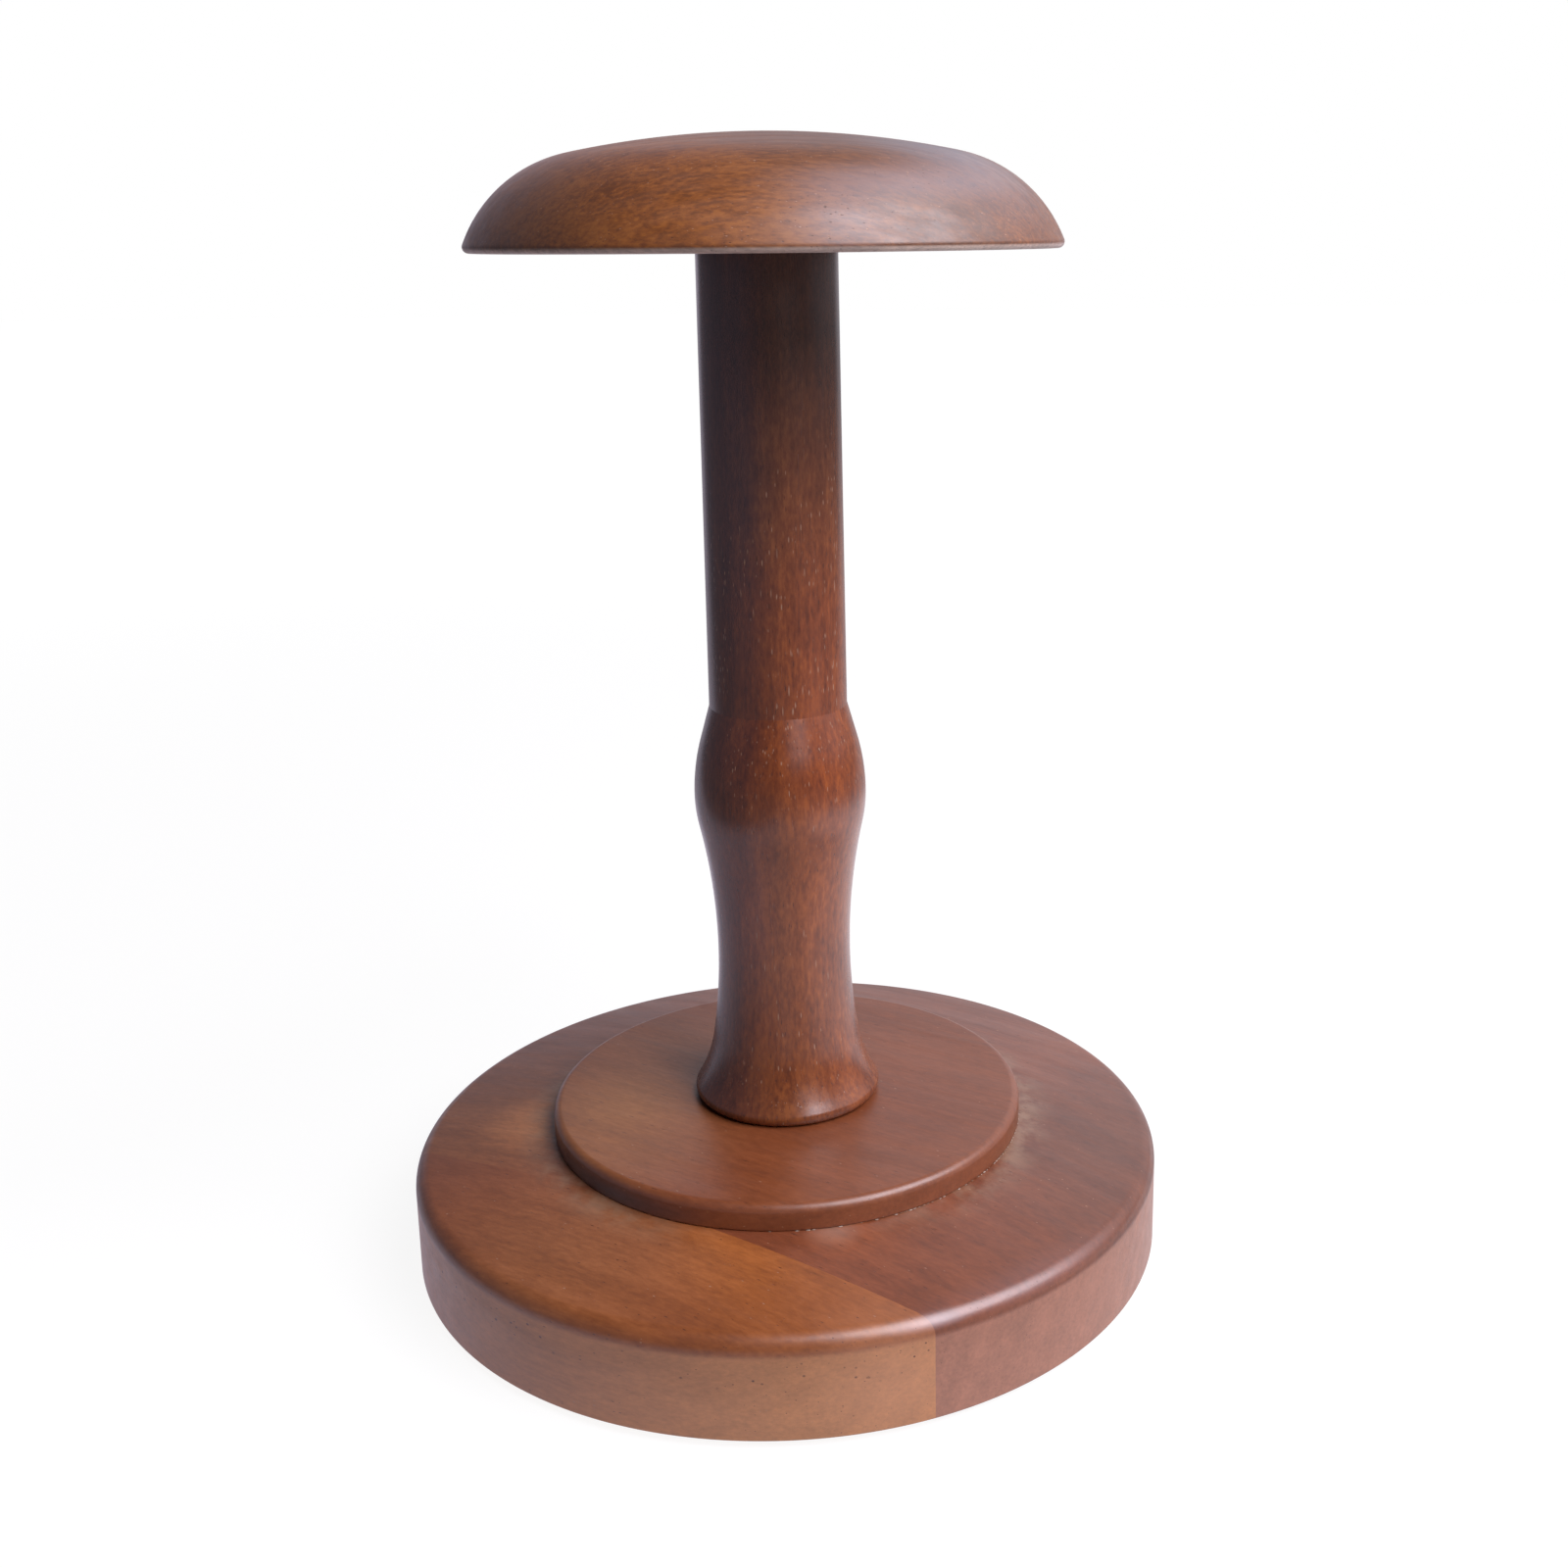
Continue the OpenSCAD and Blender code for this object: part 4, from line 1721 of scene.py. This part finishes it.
@dataclass
class FeltPads:
    """The felt pads under the base, with a slightly frayed edge."""

    count: int = 4
    diameter: float = 20.0
    height: float = 2.0
    ring_r: float = 80.0
    edge: float = 0.5
    fill: float = 0.9
    fray: float = 0.006
    fray_width: float = 1.2
    fray_waves: Span = (37.0, 41.0)
    fray_shifts: Span = (3.0, 5.0)

    def outline(self) -> list[Point]:
        """The pad's outline.

        Returns:
            The points from the middle of its underside to the middle of its top.
        """
        inner, edge = self.diameter / 2 - self.edge, self.edge
        side = arc((inner, edge), edge, 180, 90, 15.0) + arc((inner, self.height - edge), edge, 90, 0, 15.0)
        return run((0.0, 0.0), (inner, 0.0), 0.8) + side + [(0.0, self.height)]

    def frayed(self, spot: Vector, turn: int) -> Vector:
        """Draws a point near the rim in by an uneven amount.

        Args:
            spot: The point, with the pad's middle at the origin.
            turn: Number of the pad, so that no two fray alike.

        Returns:
            The point on the frayed pad.
        """
        wave_x, wave_y = self.fray_waves
        shift_x, shift_y = (turn * s for s in self.fray_shifts)
        wave = math.sin(wave_x * spot.x / MM + shift_x) * math.sin(wave_y * spot.y / MM + shift_y)
        rim = max(0.0, Vector(spot.xy).length / MM - self.diameter / 2 + self.fray_width)
        shrink = 1 - self.fray * rim * (1 + wave)
        return Vector((spot.x * shrink, spot.y * shrink, spot.z))

    def build(self, lathe: Lathe) -> None:
        """Turns one pad, sets frayed copies of it under the base and dresses them.

        Args:
            lathe: The lathe.
        """
        finish = FELT.material()
        pad = lathe.turn("felt_pad_blank", self.outline(), Facets.SMALL, finish)
        shape = bmesh.new()
        for i in range(self.count):
            angle = math.tau * (i + 0.5) / self.count
            place = Matrix.Rotation(angle, 4, "Z") @ Matrix.Translation((self.ring_r * MM, 0.0, 0.0))
            first = len(shape.verts)
            shape.from_mesh(pad.data)
            shape.verts.ensure_lookup_table()
            for vert in shape.verts[first:]:
                vert.co = place @ self.frayed(vert.co, i)
        mesh = bpy.data.meshes.new("felt_pads_pressed")
        shape.to_mesh(mesh)
        shape.free()
        mesh.materials.append(finish)
        pads = show("felt_pads_pressed", mesh)
        bpy.data.objects.remove(pad)
        settle(tidy(pads, 35.0), "felt_pads")


@dataclass
class Camera:
    """The photograph's camera, found from the outlines of base, stem and cap."""

    place: Triple = (0.0, -453.84, 266.61)
    pitch: float = 0.2396
    roll: float = -0.0094
    yaw: float = 0.0677
    focal_px: float = 1834.7
    centre_px: Point = (914.14, 686.47)
    frame_px: float = 1600.0
    nearest: float = 10.0

    def build(self) -> None:
        """Makes the camera and sets it as the scene's."""
        flat = math.cos(self.pitch)
        ahead = Vector((math.sin(self.yaw) * flat, math.cos(self.yaw) * flat, -math.sin(self.pitch)))
        level = Vector((math.cos(self.yaw), -math.sin(self.yaw), 0.0))
        upright = level.cross(ahead)
        right = level * math.cos(self.roll) + upright * math.sin(self.roll)
        above = upright * math.cos(self.roll) - level * math.sin(self.roll)
        data = bpy.data.cameras.new("photo_camera")
        data.sensor_fit = "HORIZONTAL"
        data.sensor_width = 36.0
        data.lens = self.focal_px / self.frame_px * data.sensor_width
        data.shift_x = (self.frame_px / 2 - self.centre_px[0]) / self.frame_px
        data.shift_y = (self.centre_px[1] - self.frame_px / 2) / self.frame_px
        data.clip_start = self.nearest * MM
        camera = show("photo_camera", data)
        turn = Matrix((right, above, -ahead)).transposed().to_4x4()
        camera.matrix_world = Matrix.Translation(Vector(self.place) * MM) @ turn
        bpy.context.scene.camera = camera


@dataclass(frozen=True)
class Window:
    """One soft window light that faces the stand.

    Attributes:
        name: Name of the lamp.
        azimuth: Where it stands round the part, in degrees.
        height: How high it stands, in degrees.
        size: Width and height in metres.
        power: Power in watts.
        distance: How far off it stands, in metres.
        aim: Height of the point that it faces, in metres.
        tint: Colour of its light.
    """

    name: str
    azimuth: float
    height: float
    size: Span
    power: float
    distance: float = 1.2
    aim: float = 0.13
    tint: Colour = (1.0, 0.96, 1.04)

    def build(self) -> None:
        """Makes the lamp and turns it towards the middle of the stand."""
        data = bpy.data.lights.new(self.name, "AREA")
        data.shape = "RECTANGLE"
        data.size, data.size_y = self.size
        data.energy = self.power
        data.color = self.tint
        azimuth, height = math.radians(self.azimuth), math.radians(self.height)
        flat = math.cos(height)
        way = Vector((math.cos(azimuth) * flat, math.sin(azimuth) * flat, math.sin(height)))
        lamp = show(self.name, data)
        lamp.location = Vector((0.0, 0.0, self.aim)) + way * self.distance
        lamp.rotation_euler = way.to_track_quat("Z", "Y").to_euler()


@dataclass
class Studio:
    """Pale floor, a pale room that is brightest behind and to the right, and four soft windows.

    An azimuth is a direction in degrees, and a spread gives the cosines of the angle from it at which
    something begins and is whole. Distances and sizes are in metres. Heights in the room are sines.

    Attributes:
        floor_size: Length of the floor's sides.
        floor_albedo: How much light the floor itself throws back.
        lit: Share of that which the lamps already show.
        lit_reach: Distances at which the lamps' light on the floor ends and is whole.
        room: Plain level of the room.
        front_azimuth: Where the room is lower, in front of the stand.
        front_spread: Spread of that.
        front_drop: How much lower it is there.
        glow: Level of the bright side.
        glow_azimuth: Where the bright side is.
        glow_spread: Spread of the bright side.
        glow_heights: Heights between which the bright side rises to its level.
        glow_low: Share of its level that it has at the floor.
        ceiling: Heights between which the room dims upwards.
        ceiling_drop: How much it dims.
        sweep_azimuth: Where the bright strip behind the stand is.
        sweep_spread: Spread of the strip in the room.
        sweep_heights: Heights at which the strip ends and is whole.
        floor_sweep: Level of the strip on the floor.
        floor_sweep_back: How far in front of the stand's axis the strip on the floor starts.
        floor_sweep_spread: Spread of the strip on the floor.
        apron_azimuth: Where the floor round the stand is brightest.
        apron_spread: Spread of that.
        apron_levels: Levels of the floor round the stand on its dull and bright sides.
        apron_inner: Distances at which that floor begins and is whole.
        apron_outer: Distances at which it ends and is still whole.
        ring_azimuth: Where the floor close to the base is brightest.
        ring_spread: Spread of that.
        ring_levels: Levels of the floor close to the base on its dull and bright sides.
        ring_reach: Distances at which that floor ends and is still whole.
        mirror: Share of the room that shows in the lacquer.
        fill: Share of the room that lights the stand.
        bounce: Share of the floor's level that lights the stand.
        bounce_reach: Distances at which that ends and is still whole.
        tint: Colour of the room.
        left_tint: Colour of its left side.
        left_spread: Spread of the left side.
        windows: The lamps.
    """

    floor_size: float = 12.0
    floor_albedo: float = 0.15
    lit: float = 0.6
    lit_reach: Span = (1.6, 0.3)
    room: float = 0.2
    front_azimuth: float = -85.0
    front_spread: Span = (0.55, 0.95)
    front_drop: float = 0.2
    glow: float = 1.05
    glow_azimuth: float = 40.0
    glow_spread: Span = (0.3, 0.85)
    glow_heights: Span = (0.02, 0.2)
    glow_low: float = 0.3
    ceiling: Span = (0.42, 0.9)
    ceiling_drop: float = 0.85
    sweep_azimuth: float = 88.0
    sweep_spread: Span = (0.7, 0.88)
    sweep_heights: Span = (0.25, 0.14)
    floor_sweep: float = 0.62
    floor_sweep_back: float = 0.46
    floor_sweep_spread: Span = (0.78, 0.88)
    apron_azimuth: float = 35.0
    apron_spread: Span = (-0.7, 0.7)
    apron_levels: Span = (0.15, 1.5)
    apron_inner: Span = (0.13, 0.2)
    apron_outer: Span = (0.5, 0.36)
    ring_azimuth: float = -10.0
    ring_spread: Span = (-0.6, 0.35)
    ring_levels: Span = (0.8, 1.0)
    ring_reach: Span = (0.155, 0.12)
    mirror: float = 0.8
    fill: float = 0.08
    bounce: float = 0.49
    bounce_reach: Span = (0.5, 0.2)
    tint: Colour = (1.0, 0.94, 1.02)
    left_tint: Colour = (1.12, 1.01, 1.26)
    left_spread: Span = (-0.1, 0.7)
    windows: tuple[Window, ...] = (
        Window("front_window", -35.0, 46.0, (1.15, 0.92), 23.0),
        Window("side_window", 13.0, 43.0, (0.5, 0.4), 0.6),
        Window("low_window", -62.0, 15.5, (0.6, 0.12), 0.27),
        Window("rear_window", 62.0, 36.0, (0.45, 0.3), 0.25),
    )

    def _side(self, w: ShaderWriter, place: Socket, azimuth: float, spread: Span) -> Socket:
        """How far a place lies towards an azimuth.

        Args:
            w: Writer of the material or world.
            place: Place on the floor or direction in the room.
            azimuth: The azimuth in degrees.
            spread: Cosines of the angle from it that give 0 and 1.

        Returns:
            A number from 0 to 1.
        """
        level = w.vector("NORMALIZE", w.vector("MULTIPLY", place, (1.0, 1.0, 0.0)))
        turn = math.radians(azimuth)
        cosine = w.vector("DOT_PRODUCT", level, (math.cos(turn), math.sin(turn), 0.0))
        return w.between(cosine, *spread)

    def _shown(
        self, w: ShaderWriter, place: Socket, level: Socket, lit: Any, others: Any
    ) -> tuple[Socket, Socket]:
        """How strongly the surroundings shine, white to the camera and at their own level in the lacquer.

        Args:
            w: Writer of the material or world.
            place: Place on the floor or direction in the room.
            level: Their own level here.
            lit: What the lamps already give here.
            others: Share of the level that the rays other than mirrored ones see.

        Returns:
            The strength and the colour.
        """
        path = w.add("ShaderNodeLightPath").outputs
        camera = path["Is Camera Ray"]
        passed = w.math("MAXIMUM", path["Is Glossy Ray"], path["Is Transmission Ray"])
        share = w.fold("MAXIMUM", w.math("MULTIPLY", passed, self.mirror), others, camera)
        hidden = w.math("MULTIPLY", level, w.math("SUBTRACT", 1.0, camera))
        own = w.math("SUBTRACT", w.math("MAXIMUM", hidden, camera), lit)
        tint = w.mix(self._side(w, place, 180.0, self.left_spread), self.tint, self.left_tint)
        return w.math("MULTIPLY", own, share), w.mix(camera, tint, (1.0, 1.0, 1.0))

    def _plain(self, w: ShaderWriter, place: Socket) -> Socket:
        """The room's plain level in the direction of a place, lower in front of the stand."""
        ahead = self._side(w, place, self.front_azimuth, self.front_spread)
        return w.level(ahead, self.room, self.room * (1.0 - self.front_drop))

    def _walls(self, w: ShaderWriter, way: Socket) -> Socket:
        """Level of the room with its bright side, dimmer towards the ceiling, and the strip behind.

        Args:
            w: Writer of the world.
            way: Direction in the room.

        Returns:
            The level.
        """
        height = w.split(way)[2]
        side = self._side(w, way, self.glow_azimuth, self.glow_spread)
        risen = w.level(w.between(height, *self.glow_heights), self.glow_low, 1.0)
        walls = w.math("MULTIPLY_ADD", w.math("MULTIPLY", side, risen), self.glow, self._plain(w, way))
        dim = w.level(w.between(height, *self.ceiling), 1.0, 1.0 - self.ceiling_drop)
        strip = self._side(w, way, self.sweep_azimuth, self.sweep_spread)
        strip = w.math("MULTIPLY", strip, w.between(height, *self.sweep_heights))
        return w.math("MAXIMUM", w.math("MULTIPLY", walls, dim), strip)

    def _ground(self, w: ShaderWriter, here: Socket, distance: Socket) -> Socket:
        """Level of the floor, bright round the stand, close to its base and in the strip behind.

        Args:
            w: Writer of the floor's material.
            here: Place on the floor.
            distance: How far that is from the stand's axis.

        Returns:
            The level.
        """
        side = w.level(self._side(w, here, self.apron_azimuth, self.apron_spread), *self.apron_levels)
        outer = w.between(distance, *self.apron_outer)
        apron = w.fold("MULTIPLY", outer, side, w.between(distance, *self.apron_inner))
        close = w.level(self._side(w, here, self.ring_azimuth, self.ring_spread), *self.ring_levels)
        ring = w.math("MULTIPLY", w.between(distance, *self.ring_reach), close)
        start = w.place(shift=(0.0, self.floor_sweep_back, 0.0))
        strip = self._side(w, start, self.sweep_azimuth, self.floor_sweep_spread)
        strip = w.math("MULTIPLY", strip, self.floor_sweep)
        return w.fold("MAXIMUM", self._plain(w, here), apron, ring, strip)

    def floor(self) -> None:
        """Makes the floor, which keeps the shadow and shows in the lacquer where it is bright."""
        half = self.floor_size / 2
        corners = [(x * half, y * half, 0.0) for x, y in ((-1, -1), (1, -1), (1, 1), (-1, 1))]
        mesh = bpy.data.meshes.new("floor")
        mesh.from_pydata(corners, [], [(0, 1, 2, 3)])
        material = bpy.data.materials.new("pale_floor")
        material.use_nodes = True
        w = ShaderWriter(material.node_tree)
        here = w.place()
        distance = w.vector("LENGTH", here)
        lit = w.math("MULTIPLY", w.between(distance, *self.lit_reach), self.lit * self.floor_albedo)
        bounced = w.math("MULTIPLY", w.between(distance, *self.bounce_reach), self.bounce)
        strength, colour = self._shown(w, here, self._ground(w, here, distance), lit, bounced)
        paper = w.add("ShaderNodeBsdfDiffuse", {"Color": (*(self.floor_albedo,) * 3, 1.0)})
        glow = w.add("ShaderNodeEmission", {"Strength": strength, "Color": colour})
        both = w.add("ShaderNodeAddShader", {0: paper.outputs[0], 1: glow.outputs[0]})
        w.add("ShaderNodeOutputMaterial", {"Surface": both.outputs[0]})
        mesh.materials.append(material)
        show("floor", mesh)

    def world(self) -> None:
        """Makes the room, which lights the stand only a little."""
        world = bpy.data.worlds.new("pale_room")
        world.use_nodes = True
        w = ShaderWriter(world.node_tree)
        way = w.add("ShaderNodeTexCoord").outputs["Generated"]
        strength, colour = self._shown(w, way, self._walls(w, way), 0.0, self.fill)
        back = w.add("ShaderNodeBackground", {"Color": colour, "Strength": strength})
        w.add("ShaderNodeOutputWorld", {"Surface": back.outputs[0]})
        bpy.context.scene.world = world

    def build(self) -> None:
        """Makes floor, room and windows."""
        self.floor()
        self.world()
        for window in self.windows:
            window.build()
        bpy.context.scene.view_settings.view_transform = "Standard"


def main() -> None:
    """Makes the camera, builds the stand piece by piece, and then makes the studio."""
    logging.basicConfig(level=logging.INFO, format="%(name)s: %(message)s")
    Camera().build()
    lathe = Lathe()
    for assembly in (HeadCap(), Stem(), RiserPlate(), RoundBase(), Fixings(), FeltPads()):
        assembly.build(lathe)
    Studio().build()
    log.info("sizes written")


if __name__ == "__main__":
    main()
